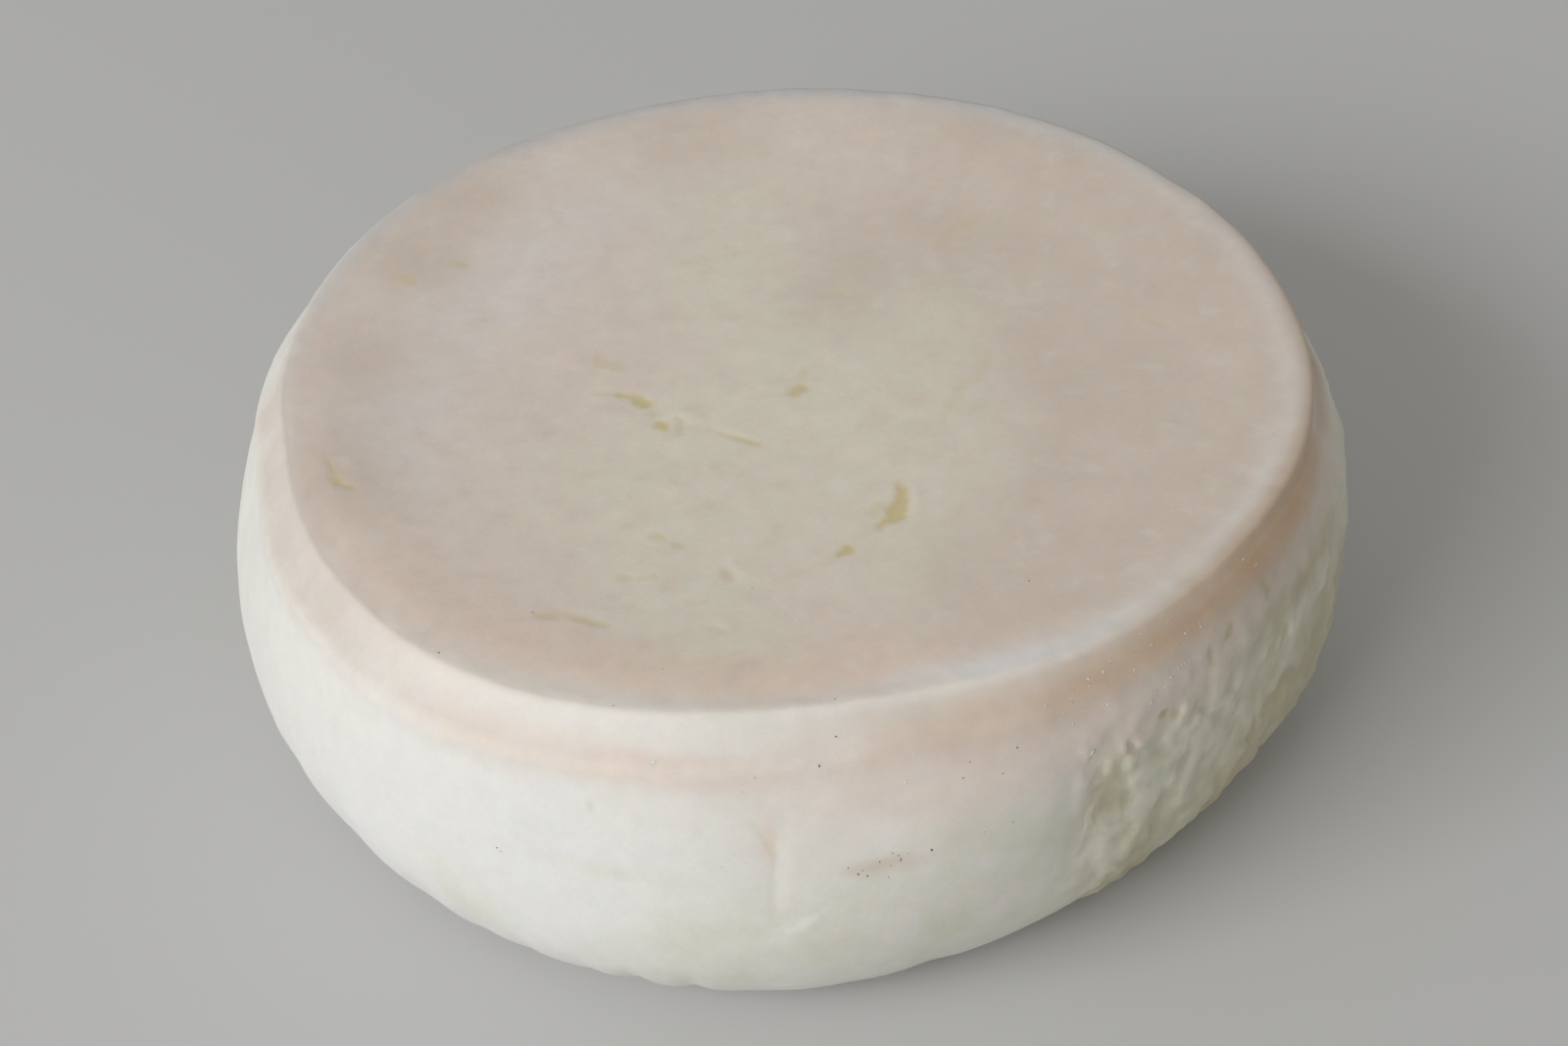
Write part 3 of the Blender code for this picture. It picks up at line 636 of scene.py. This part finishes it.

# Colour masks: the beige face, tan slopes of the rim, tan and brown of the groove, pale and brown-pink
# patches, greenish rough side, and the olive-yellow paste inside the eyes. Painted light as well: a
# painted highlight along the rim, painted shade on the far rim, on the walls below the rim, low on the
# right of the side and in the gaps between lumps, and a paler slope on the near left.
# Patches are (x, y, spread) on the face, (direction, height, spread round, spread up) on the side.
PALE_PATCHES = (
    (3, -10, 12), (-2, -19, 11), (-20, -22, 9), (13, 4, 12), (-14, -44, 8), (14, -28, 8),
    (22, 16, 8), (-8, 42, 8), (20, -20, 8), (-10, -58, 7), (-6, 22, 8), (16, -44, 6),
)
LILAC_PATCHES = ((-30, 43, 9), (-40, 26, 7), (-53, 0, 6), (-46, 15, 7), (-54, -14, 8))
BROWN_PATCHES = (
    (20, 31, 9), (46, 45, 9), (58, 12, 11), (-55, 31, 6), (-59, 6, 6), (40, 3, 9), (8, 18, 6),
    (-48, 48, 7), (35, 22, 7), (-64, -16, 6), (-59, -24, 4), (44, -34, 13), (60, -8, 13),
    (64, 8, 10), (32, 60, 10), (52, -24, 11), (28, -50, 9), (-14, 60, 8), (60, 26, 8),
    (48, -44, 9), (58, 0, 8), (57, -30, 9),
)
PINK_SIDE = (
    (-80, 43, 9, 4), (-70, 44, 10, 4.5), (-60, 45, 9, 4), (-47, 46, 8, 4), (-98, 45, 5, 1.5),
    (-92.6, 36.5, 0.6, 1.8), (-121, 45.5, 7, 2), (-108, 45.5, 5, 1.5),
    (60, 42, 14, 4), (120, 42, 18, 4),
)
COOL_SIDE = ((-134, 16, 24, 11), (-118, 32, 12, 8), (-66, 38, 3, 4))
BROWN_SIDE = (
    (-82.4, 32.2, 2.6, 0.8), (-24, 49, 8, 3), (-72, 47, 8, 3), (96, 30, 14, 8), (-34, 47, 8, 2.5),
)
# Olive patches darkened as painted shade, most low on the right where the side turns away from the
# window.
OLIVE_AND_SHADE_SIDE = (
    (-33, 13, 10, 5), (-27, 19, 10, 6), (-20, 18, 8, 7), (-14, 24, 6, 8),
    (-46, 8, 8, 3), (-54.5, 15.5, 2, 4.5), (-59, 30, 1.2, 5), (-31, 42, 8, 2.5),
)
OLIVE_SIDE = (
    (-107, 31, 3.5, 0.8), (-64, 20, 10, 8), (-88, 14, 14, 4), (-96, 22, 6, 4), (-30, 20, 22, 9),
    (-46, 32, 12, 9), (-24, 38, 12, 7), (150, 20, 30, 10), (-76, 32, 7, 6), (-30, 41, 14, 4),
    (-14, 42, 8, 5), (-40, 42, 6, 4), (-122, 18, 3, 5), (-80, 20, 8, 6),
)
# Bands along the rim: share, millimetres outside the crest, spread, direction and how sharply the
# band keeps to it, or, in the short ones, its spread in degrees.
WIDE_TAN_BANDS = ((0.75, -0.8, 2.8, -160, 8), (0.7, -7.5, 3.5, -100, 4))
TAN_BANDS = ((0.9, -3, 2.2, -76, 12),)
# The light bands are a painted highlight: a pale strip just inside the crest, where the rim's slope
# faces the window.
PAINTED_HIGHLIGHT_BANDS = ((1.0, -1.2, 2.4, -67, 12), (0.40, -1.8, 1.5, -27, 15))
# The far band is painted shade: the far rim darkened and cooled where its rounding turns away from the
# window.
FAR_PAINTED_SHADE_BANDS = ((1.0, 0, 2.2, 85, 1.5),)
# Where the face's beige ends outside the crest, in millimetres: further in on the near left, partly
# the rind's own colour and partly painted light on the slope there, which faces away from the window.
FACE_END, FACE_FADE = 1.2, 4.4
PAINTED_LIGHT_TOWARDS, PAINTED_LIGHT_SPREAD, PAINTED_LIGHT_IN, PAINTED_LIGHT_FADE = -120, 22, 1.3, 1.4
# The tan walls below the rim: directions and their fades, then ends outside the crest and theirs.
# The first wall's tan is partly the rind's colour and partly painted shade where the wall turns away
# from the window.
WALL_FROM, WALL_TO, WALL_TURN_FADES = -102, 165, (75, 50)
WALL_TOP, WALL_FOOT, WALL_FADES = -2.2, 12.5, (2.8, 6.5)
WALL_RIGHT, WALL_HIGHER, WALL_LOWER = -25, 0.6, 2
WALL_SHORT_FROM, WALL_SHORT_FADE, WALL_SHORTER = -32, 20, 6
LEFT_WALL_TO, LEFT_WALL_FROM, LEFT_TURN_FADES = -124, 172, (26, 8)
LEFT_WALL_TOP, LEFT_WALL_FOOT, LEFT_WALL_FADES = -1.2, 13.5, (2.4, 9)
GROOVE_LINE, GROOVE_LINE_WIDTH = 0.3, 1.4
SHALLOW_GROOVE_SHARE, SHALLOW_GROOVE_TOWARDS = 0.09, -124
COLOUR_WANDER = ((0.35, 6, 51), (0.15, 2, 52))
FLAP_PALEST = 0.12            # height in millimetres from which a flap is quite pale
SIDE_PATCHES_FROM = 3         # millimetres outside the crest


def patches(across, up, spots):
    """Sum of bell curves at the listed places, no more than 1."""
    return np.clip(sum(bell(np.hypot((across - spot[0]) / spot[2], (up - spot[1]) / spot[-1]))
                       for spot in spots), 0, 1)


def wide_bands(bands, across, angle):
    """Sum of bands along the rim: a bell curve across, a power of half a cosine round the wheel."""
    return sum(share * bell((across - outside) / spread) * facing(angle, towards) ** sharpness
               for share, outside, spread, towards, sharpness in bands)


def short_bands(bands, across, angle):
    """Sum of bands along the rim, a bell curve both ways."""
    return sum(share * bell((across - outside) / spread) * bell((angle - towards) / turn)
               for share, outside, spread, towards, turn in bands)


from_crest, from_groove = (along - CREST) / MM, (along - GROOVE) / MM
x, y, up = (points / MM).T
wander = noises(points, COLOUR_WANDER)
# painted light: the face's beige ends further in on the near left, so its slope is paler
painted_light = bell((angle - PAINTED_LIGHT_TOWARDS) / PAINTED_LIGHT_SPREAD)
face_end = FACE_END - PAINTED_LIGHT_IN * painted_light + wander
face = ease((face_end - from_crest) / (FACE_FADE + PAINTED_LIGHT_FADE * painted_light))
right = facing(angle, WALL_RIGHT) ** 2
wall_top = WALL_TOP - WALL_HIGHER * right - wander
wall_end = WALL_FOOT + WALL_LOWER * right + wander
wall_end = wall_end - WALL_SHORTER * ease((angle - WALL_SHORT_FROM) / WALL_SHORT_FADE)
# tan and painted shade on the walls below the rim
wall = between(angle, WALL_FROM, WALL_TO, WALL_TURN_FADES)
wall = wall * between(from_crest, wall_top, wall_end, WALL_FADES)
left_wall = ease((LEFT_WALL_TO - angle) / LEFT_TURN_FADES[0])
left_wall = left_wall + ease((angle - LEFT_WALL_FROM) / LEFT_TURN_FADES[1])
left_end = LEFT_WALL_FOOT + 2 * wander
left_wall = left_wall * between(from_crest, LEFT_WALL_TOP, left_end, LEFT_WALL_FADES)
tan = wide_bands(WIDE_TAN_BANDS, from_crest, angle) + short_bands(TAN_BANDS, from_crest, angle)
groove = SHALLOW_GROOVE_SHARE * facing(angle, SHALLOW_GROOVE_TOWARDS) ** 8 + deep_groove(angle)
below_wall = from_crest > SIDE_PATCHES_FROM
brown_side = patches(angle, up, BROWN_SIDE) * below_wall
masks = {
    "face": face,
    "tan": tan,
    "wall": wall,
    "left": left_wall,
    "groove": bell((from_groove - GROOVE_LINE) / GROOVE_LINE_WIDTH) * groove,
    # painted highlight along the rim, then painted shade on the far rim
    "light": short_bands(PAINTED_HIGHLIGHT_BANDS, from_crest, angle),
    "far": wide_bands(FAR_PAINTED_SHADE_BANDS, from_crest, angle),
    "pale": patches(x, y, PALE_PATCHES) * face,
    "lilac": patches(x, y, LILAC_PATCHES) * face,
    "brown": patches(x, y, BROWN_PATCHES) * face + brown_side * (1 - face),
    "rough": rough,
    "lump": lump,
    "scar": scar,
    "eye": eye,
    "flap": ease(flap / FLAP_PALEST),
}
side_patches = {"pink": PINK_SIDE, "olive": OLIVE_SIDE, "dark": OLIVE_AND_SHADE_SIDE, "cool": COOL_SIDE}
for name, spots in side_patches.items():
    masks[name] = patches(angle, up, spots) * below_wall
for name, values in masks.items():
    add_mask(wheel_data, name, values)

# --------------------
# The rind's finish: dry, matt skin of dried paste and yeast, a little waxy and translucent, with
# the colour in soft clouds and a fine grain.
IVORY = (0.83, 0.815, 0.78, 1)
COOL_IVORY = (0.83, 0.825, 0.82, 1)
GREEN_IVORY = (0.71, 0.71, 0.575, 1)
LUMP_IVORY = (0.83, 0.82, 0.71, 1)
# olive in the gaps between the lumps, darkened as painted shade
GAP_OLIVE_AND_PAINTED_SHADE = (0.60, 0.57, 0.42, 1)
# olive, darkened as painted shade low on the right of the side
OLIVE_AND_PAINTED_SHADE = (0.53, 0.49, 0.34, 1)
BEIGE = (0.80, 0.70, 0.622, 1)
CREAM = (0.79, 0.755, 0.64, 1)
LILAC = (0.81, 0.745, 0.71, 1)
BROWN_PINK = (0.70, 0.60, 0.52, 1)
PINK = (0.81, 0.71, 0.64, 1)
TAN = (0.82, 0.672, 0.568, 1)
# tan of the walls below the rim, darkened as painted shade where they turn away from the window
WALL_TAN_AND_PAINTED_SHADE = (0.615, 0.475, 0.35, 1)
LEFT_BEIGE = (0.72, 0.65, 0.59, 1)
# painted highlight along the rim
RIM_PAINTED_HIGHLIGHT = (0.83, 0.815, 0.80, 1)
# painted shade on the far rim
RIM_PAINTED_SHADE = (0.62, 0.61, 0.61, 1)
GROOVE_BROWN = (0.54, 0.38, 0.25, 1)
SCAR_TAN = (0.56, 0.48, 0.30, 1)
EYE_OLIVE = (0.69, 0.59, 0.345, 1)
FLAP_PALE = (0.84, 0.80, 0.73, 1)
# Tints laid over each other in turn: mask, colour, the noise that breaks the tint up, and its share
# as a base and a gain of that noise.
FIRST_TINTS = (("cool", COOL_IVORY, "clouds", 0.1, 1.8),)
LATER_TINTS = (
    ("pink", PINK, "clouds", 0.075, 1.35),
    # olive and painted shade low on the right of the side
    ("dark", OLIVE_AND_PAINTED_SHADE, "clouds", 0.085, 1.53),
    ("face", BEIGE, "clouds", 1.0, 0.0),
    ("pale", CREAM, "clouds", 0.075, 1.35),
    ("lilac", LILAC, "clouds", 0.075, 1.35),
    ("tan", TAN, "clouds", 0.6, 0.6),
    ("brown", BROWN_PINK, "clouds", 0.07, 1.26),
    ("face", BROWN_PINK, "blotch", 0.874, -1.9),
    ("face", FLAP_PALE, "blotch", -1.026, 1.9),
    # tan and painted shade on the walls below the rim
    ("wall", WALL_TAN_AND_PAINTED_SHADE, "clouds", 0.8, 0.4),
    # painted highlight along the rim
    ("light", RIM_PAINTED_HIGHLIGHT, "clouds", 0.5, 1.0),
    ("left", LEFT_BEIGE, "clouds", -0.192, 2.4),
    # painted shade on the far rim
    ("far", RIM_PAINTED_SHADE, "clouds", 0.5, 1.0),
    ("groove", GROOVE_BROWN, "clouds", 0.2, 0.8),
    ("flap", FLAP_PALE, "clouds", 0.35, 0.0),
    ("scar", SCAR_TAN, "grain", 0.6, 0.8),
    ("eye", EYE_OLIVE, "grain", 0.7, 0.6),
)


def feed(node, sockets):
    """Puts values or wires on a node's input sockets."""
    for name, value in sockets.items():
        if isinstance(value, Wire):
            node.id_data.links.new(value.socket, node.inputs[name])
        else:
            node.inputs[name].default_value = value


class Wire:
    """A value or colour on its way through a material; arithmetic on it adds the nodes for it."""

    def __init__(self, socket):
        self.socket = socket

    def node(self, kind, sockets, out=0, **settings):
        """Adds a node: its settings, then what its sockets take; gives the wire from an output."""
        made = self.socket.id_data.nodes.new("ShaderNode" + kind)
        for name, value in settings.items():
            setattr(made, name, value)
        feed(made, sockets)
        return Wire(made.outputs[out])

    def maths(self, operation, first, second):
        return self.node("Math", {0: first, 1: second}, operation=operation)

    def __add__(self, other):
        return self.maths("ADD", self, other)

    def __sub__(self, other):
        return self.maths("SUBTRACT", self, other)

    def __rsub__(self, other):
        return self.maths("SUBTRACT", other, self)

    def __mul__(self, other):
        return self.maths("MULTIPLY", self, other)

    __radd__, __rmul__ = __add__, __mul__

    def clamped(self):
        """The value kept between 0 and 1."""
        return self.node("Clamp", {"Value": self})

    def tint(self, other, share, **settings):
        """This colour mixed with another one."""
        return self.node("Mix", {0: share, 6: self, 7: other}, out=2, data_type="RGBA", **settings)

    def plain(self, values):
        """A plain colour to start from."""
        made = self.node("RGB", {})
        made.socket.default_value = values
        return made

    def noise(self, size, detail=3.0, roughness=0.5):
        """Cloudy noise from 0 to 1 on this place, its features about `size` metres across."""
        sockets = {"Vector": self, "Scale": 1 / size, "Detail": detail, "Roughness": roughness}
        return self.node("TexNoise", sockets)

    def mask(self, name):
        """A number stored on the mesh."""
        return self.node("Attribute", {}, out=2, attribute_name=name)


def new_material(name):
    """A material, the wire from its object coordinates, and its Principled shader."""
    made = bpy.data.materials.new(name)
    made.use_nodes = True
    nodes = made.node_tree.nodes
    return made, Wire(nodes.new("ShaderNodeTexCoord").outputs["Object"]), nodes["Principled BSDF"]


def laid_over(colour, place, tints, fields):
    """The colour under a list of tints: each mask times its share, kept between 0 and 1."""
    for mask, tint, field, base, gain in tints:
        colour = colour.tint(tint, (place.mask(mask) * (fields[field] * gain + base)).clamped())
    return colour


def rind_finish():
    """Soft clouds of colour by the masks, uneven roughness, and a fine grain as bump.

    Noise is multiplied into the masks of the scars and the eyes before they are cut off between 0
    and 1, so that their edges are broken up more finely than the mesh.
    """
    made, place, shader = new_material("natural_rind")
    clouds = place.noise(9 * MM, 4.0, 0.6)
    blotch = place.noise(4.5 * MM, 3.0, 0.55)
    mottle = place.noise(3 * MM, 4.0, 0.6)
    grain = place.noise(0.7 * MM, 3.0, 0.6)
    fields = {"clouds": clouds, "blotch": blotch, "grain": grain}
    drawn_out = place.node("VectorMath", {0: place, 1: (1, 1, 0.7)}, operation="MULTIPLY")
    streaks = drawn_out.noise(2.6 * MM, 3.0, 0.55)
    colour = place.plain(IVORY)
    # On the rough side: pale lump tops, and olive gaps darkened as painted shade.
    lumps = (place.mask("lump") * 0.9 + (streaks - 0.5) * 2.4 + 0.12).clamped()
    colour = colour.tint(place.plain(GAP_OLIVE_AND_PAINTED_SHADE).tint(LUMP_IVORY, lumps), place.mask("rough"))
    colour = laid_over(colour, place, FIRST_TINTS, fields)
    green = (place.mask("olive") * 1.2 + 0.25) * (clouds - 0.28) * 1.3
    colour = colour.tint(GREEN_IVORY, green.clamped())
    colour = colour.tint(PINK, ((0.56 - clouds) * (blotch - 0.3) * 1.5).clamped())
    colour = laid_over(colour, place, LATER_TINTS, fields)
    shade = 0.905 + mottle * 0.12 + grain * 0.07
    grey = shade.node("CombineColor", {0: shade, 1: shade, 2: shade})
    colour = colour.tint(grey, 1.0, blend_type="MULTIPLY")
    pores = place.noise(0.45 * MM, 2.0, 0.6)
    bumps = mottle * 0.20 + grain * 0.20 + pores * 0.10
    feed(shader, {
        "Base Color": colour,
        "Roughness": 0.48 + mottle * 0.16 + grain * 0.10,
        "Normal": bumps.node("Bump", {"Height": bumps, "Strength": 0.3, "Distance": 0.4 * MM}),
        "Specular IOR Level": 0.35,
        "Subsurface Weight": 0.6,
        "Subsurface Radius": (1.0, 0.65, 0.35),
        "Subsurface Scale": 1.3 * MM,
    })
    return made


def new_piece(name, data, finish):
    """An object at the origin with its one finish, riding on the wheel's body."""
    piece = bpy.data.objects.new(name, data)
    bpy.context.scene.collection.objects.link(piece)
    data.materials.append(finish)
    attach(piece, "root")
    return piece


wheel = new_piece("goat_cheese", wheel_data, rind_finish())
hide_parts("cheese_wheel")

# --------------------
# Crumbs of dried curd that stuck to the rim's wall and the side, and a few dark specks of mould.
# Each is a small knocked ball, pressed partly into the rind.

# direction in degrees, height of the place and size in millimetres
PLACED_CRUMBS = (
    (-35, 51.8, 1), (-36.8, 50.8, 1.1), (-37.1, 50.4, 0.7), (-38, 52.2, 0.6), (-36.3, 46, 1),
    (-35.8, 45.6, 0.7), (-54.3, 52.2, 0.5), (-53.7, 52, 0.5), (-59, 50.4, 0.6),
    (-50.5, 46.6, 0.7), (-50, 46.4, 0.9), (-49.4, 46.5, 0.7), (-51, 46.6, 0.6), (-52, 46, 0.5),
    (-52.6, 45.6, 0.9), (-53, 45.2, 0.7), (-53.4, 45.4, 0.5), (-63, 48.8, 0.7), (-63, 46, 0.8),
    (-63.3, 45.8, 0.6), (-59.5, 46.6, 0.7), (-61.9, 41, 1.6), (-61.6, 40.2, 1.3),
    (-65.8, 48.8, 0.5), (-67.8, 46.8, 0.6), (-62.5, 46.4, 0.6), (-57, 47.8, 0.5),
    (-54.8, 44.3, 0.6), (-49.2, 50.3, 0.4), (-48.7, 50.5, 0.5), (-47.2, 49.8, 0.4),
    (-46, 48.6, 0.5), (-60.7, 44.2, 0.5), (-103.2, 46, 1), (-103.8, 46.3, 0.5), (-94, 45, 0.6),
    (-95, 43.1, 0.7), (-78.8, 46.2, 0.6), (-64.2, 47.6, 0.4), (-56, 49.4, 0.5),
)
# direction in degrees, length along the outline and size in millimetres
RIM_SPECKS = (
    (-128, 71.2, 0.34), (-108, 71.7, 0.38), (-85.8, 71.1, 0.26), (-57.5, 56.9, 0.24),
    (-104.6, 64.2, 0.2), (-96, 47, 0.2),
)
# laid out like the crumbs
SIDE_SPECKS = (
    (-86, 48.4, 0.26), (-87.8, 45.8, 0.3), (-69, 44.6, 0.3), (-118, 30.2, 0.2),
    (-117.6, 29.8, 0.18), (-85.6, 32.4, 0.22), (-84.7, 31.2, 0.32), (-84.3, 31.7, 0.26),
    (-83.9, 30.8, 0.22), (-82.7, 32.6, 0.2), (-81.7, 31.9, 0.24), (-81, 33.1, 0.26),
    (-80.8, 32.4, 0.36), (-80.1, 33.2, 0.24), (-81.5, 33.6, 0.2), (-82, 30.2, 0.2),
    (-77.9, 33, 0.38), (-73.6, 44, 0.22), (-74.4, 42, 0.2), (-70.6, 41.6, 0.26),
)
# Strewn grains: how many and their seed; crumbs by middle and spread, specks between two ends;
# then the smallest and largest in millimetres, how flat they are, and how deep they sit.
CRUMB_COUNT, CRUMB_SEED = 46, 7
CRUMBS_ROUND, CRUMBS_ALONG = (-54, 14), (81 * MM, 5 * MM)
CRUMB_SIZES, CRUMB_FLATNESS, CRUMB_SUNK = (0.2, 0.6), 0.45, 0.15
SPECK_COUNT, SPECK_SEED = 14, 8
SPECKS_ROUND, SPECKS_ALONG = (-130, 180), (78 * MM, 120 * MM)
SPECK_SIZES, SPECK_FLATNESS, SPECK_SUNK = (0.10, 0.20), 0.35, 0.05
GRAIN_DENT, GRAIN_LONG, GRAIN_NARROW, GRAIN_SQUEEZE = 0.42, 1.35, 0.75, (0.7, 1.3)
CURD_WHITE = (0.76, 0.72, 0.65, 1)
MOULD_GREY = (0.17, 0.12, 0.09, 1)


def knocked_balls(sizes, seed, flatness):
    """Balls turned, squeezed and dented at random, one for each size: points and faces of one mesh."""
    ball = bmesh.new()
    bmesh.ops.create_icosphere(ball, subdivisions=1, radius=0.5)
    unit = np.array([corner.co[:] for corner in ball.verts])
    faces = np.array([[corner.index for corner in face.verts] for face in ball.faces])
    ball.free()
    draw = np.random.default_rng(seed)
    dents = 1 + GRAIN_DENT * draw.uniform(-1, 1, (len(sizes), len(unit), 1))
    squeeze = draw.uniform(*GRAIN_SQUEEZE, (len(sizes), 1, 3)) * (GRAIN_LONG, GRAIN_NARROW, flatness)
    turn = draw.uniform(0, 2 * math.pi, len(sizes))
    shaped = unit[None] * dents * squeeze * sizes[:, None, None]
    x = shaped[..., 0] * np.cos(turn)[:, None] - shaped[..., 1] * np.sin(turn)[:, None]
    y = shaped[..., 0] * np.sin(turn)[:, None] + shaped[..., 1] * np.cos(turn)[:, None]
    shaped = np.stack([x, y, shaped[..., 2]], -1)
    first = np.arange(len(sizes))[:, None, None] * len(unit)
    return shaped, (faces[None] + first).reshape(-1, 3)


def length_at_height(directions, heights):
    """Length along the outline where the side is that high: the nearest of 700 places down it."""
    down = np.linspace(CREST, BASE, 700)
    reached = wheel_place(down, directions[:, None])[..., 2]
    return down[np.argmin(np.abs(reached - heights[:, None]), axis=1)]


def laid_grains(name, directions, lengths, widths, seed, flatness, sunk, finish):
    """One mesh of knocked balls, each laid on the rind at its direction and length."""
    grains, faces = knocked_balls(widths, seed, flatness)
    at, out = wheel_place(lengths, directions), wheel_outwards(lengths, directions)
    stand = rind_relief(lengths, directions, at)[0]
    at = at + out * (stand - sunk * widths)[:, None]
    sideways = np.cross((0, 0, 1), out + np.array((1e-6, 0, 0)))
    sideways /= np.linalg.norm(sideways, axis=-1, keepdims=True)
    upwards = np.cross(out, sideways)
    spread = grains[..., :1] * sideways[:, None] + grains[..., 1:2] * upwards[:, None]
    grains = at[:, None] + spread + grains[..., 2:] * out[:, None] + slide
    data = bpy.data.meshes.new(name)
    data.from_pydata(grains.reshape(-1, 3).tolist(), [], faces.tolist())
    data.shade_smooth()
    return new_piece(name, data, finish)


def grain_finish(name, colour):
    """Dry grains whose colour changes a little from one to the next."""
    made, place, shader = new_material(name)
    cloud = place.noise(1.5 * MM, 2.0, 0.5)
    light = tuple(min(1.0, part * 1.12) for part in colour[:3]) + (1,)
    feed(shader, {
        "Base Color": place.plain(colour).tint(light, cloud),
        "Roughness": cloud * 0.2 + 0.7,
        "Specular IOR Level": 0.25,
    })
    return made


draw = np.random.default_rng(CRUMB_SEED)
placed = np.array(PLACED_CRUMBS)
placed_lengths = length_at_height(placed[:, 0], placed[:, 1] * MM)
towards = np.concatenate([placed[:, 0], draw.normal(*CRUMBS_ROUND, CRUMB_COUNT)])
lengths = np.concatenate([placed_lengths, draw.normal(*CRUMBS_ALONG, CRUMB_COUNT)])
strewn_sizes = draw.uniform(*CRUMB_SIZES, CRUMB_COUNT) ** 2 / max(CRUMB_SIZES)
widths = np.concatenate([placed[:, 2], strewn_sizes]) * MM
laid_grains("rind_crumbs", towards, lengths, widths, CRUMB_SEED, CRUMB_FLATNESS, CRUMB_SUNK,
            grain_finish("dried_curd", CURD_WHITE))

draw = np.random.default_rng(SPECK_SEED)
on_rim, on_side = np.array(RIM_SPECKS), np.array(SIDE_SPECKS)
placed_lengths = length_at_height(on_side[:, 0], on_side[:, 1] * MM)
strewn = [draw.uniform(*ends, SPECK_COUNT) for ends in (SPECKS_ROUND, SPECKS_ALONG, SPECK_SIZES)]
towards = np.concatenate([on_rim[:, 0], on_side[:, 0], strewn[0]])
lengths = np.concatenate([on_rim[:, 1] * MM, placed_lengths, strewn[1]])
widths = np.concatenate([on_rim[:, 2], on_side[:, 2], strewn[2]]) * MM
laid_grains("mould_specks", towards, lengths, widths, SPECK_SEED, SPECK_FLATNESS, SPECK_SUNK,
            grain_finish("grey_mould", MOULD_GREY))

# --------------------
# Studio: a pale matt floor, one large low window light from the front left, and soft pale light
# all round.
FLOOR_SIZE, FLOOR_DROP = 8.0, 0.2 * MM
FLOOR_COLOUR, FLOOR_ROUGHNESS = (0.62, 0.62, 0.62, 1), 0.8
WINDOW_TOWARDS, WINDOW_ELEVATION, WINDOW_DISTANCE = -138, 31, 2.4
WINDOW_SIZE, WINDOW_POWER = (1.7, 0.9), 35.5
WORLD_COLOUR, WORLD_STRENGTH = (1.0, 0.985, 0.94, 1), 0.36

floor_data = bpy.data.meshes.new("floor")
half = FLOOR_SIZE / 2
corners = [(-half, -half, 0), (half, -half, 0), (half, half, 0), (-half, half, 0)]
floor_data.from_pydata(corners, [], [(0, 1, 2, 3)])
floor_finish, _, floor_shader = new_material("pale_floor")
feed(floor_shader, {"Base Color": FLOOR_COLOUR, "Roughness": FLOOR_ROUGHNESS})
floor_data.materials.append(floor_finish)
floor = bpy.data.objects.new("floor", floor_data)
floor.location.z = -FLOOR_DROP
bpy.context.scene.collection.objects.link(floor)

window_data = bpy.data.lights.new("window", "AREA")
window_data.shape = "RECTANGLE"
window_data.size, window_data.size_y = WINDOW_SIZE
window_data.energy = WINDOW_POWER
window = bpy.data.objects.new("window", window_data)
window_turn, window_rise = math.radians(WINDOW_TOWARDS), math.radians(WINDOW_ELEVATION)
window.location = WINDOW_DISTANCE * Vector((
    math.cos(window_rise) * math.cos(window_turn),
    math.cos(window_rise) * math.sin(window_turn),
    math.sin(window_rise)))
window.rotation_euler = window.location.to_track_quat("Z", "Y").to_euler()
bpy.context.scene.collection.objects.link(window)

world = bpy.data.worlds.new("soft_room")
world.use_nodes = True
feed(world.node_tree.nodes["Background"], {"Color": WORLD_COLOUR, "Strength": WORLD_STRENGTH})
bpy.context.scene.world = world
bpy.context.scene.view_settings.view_transform = "Standard"

# --------------------
# Camera: in front of the wheel, looking down at its face.
CAMERA_PLACE = Vector((-0.52 * MM, -340.87 * MM, 304.62 * MM))
CAMERA_PITCH, CAMERA_ROLL = 39.60, -1.79
CAMERA_LENS, CAMERA_SENSOR = 69.1, 36

camera_data = bpy.data.cameras.new("camera")
camera_data.lens = CAMERA_LENS
camera_data.sensor_width = CAMERA_SENSOR
camera_data.clip_start = 0.01
camera = bpy.data.objects.new("camera", camera_data)
camera.location = CAMERA_PLACE + Vector(slide)
pitched = Matrix.Rotation(math.radians(90 - CAMERA_PITCH), 3, "X")
rolled = Matrix.Rotation(math.radians(CAMERA_ROLL), 3, "Z")
camera.rotation_euler = (pitched @ rolled).to_euler()
bpy.context.scene.collection.objects.link(camera)
bpy.context.scene.camera = camera
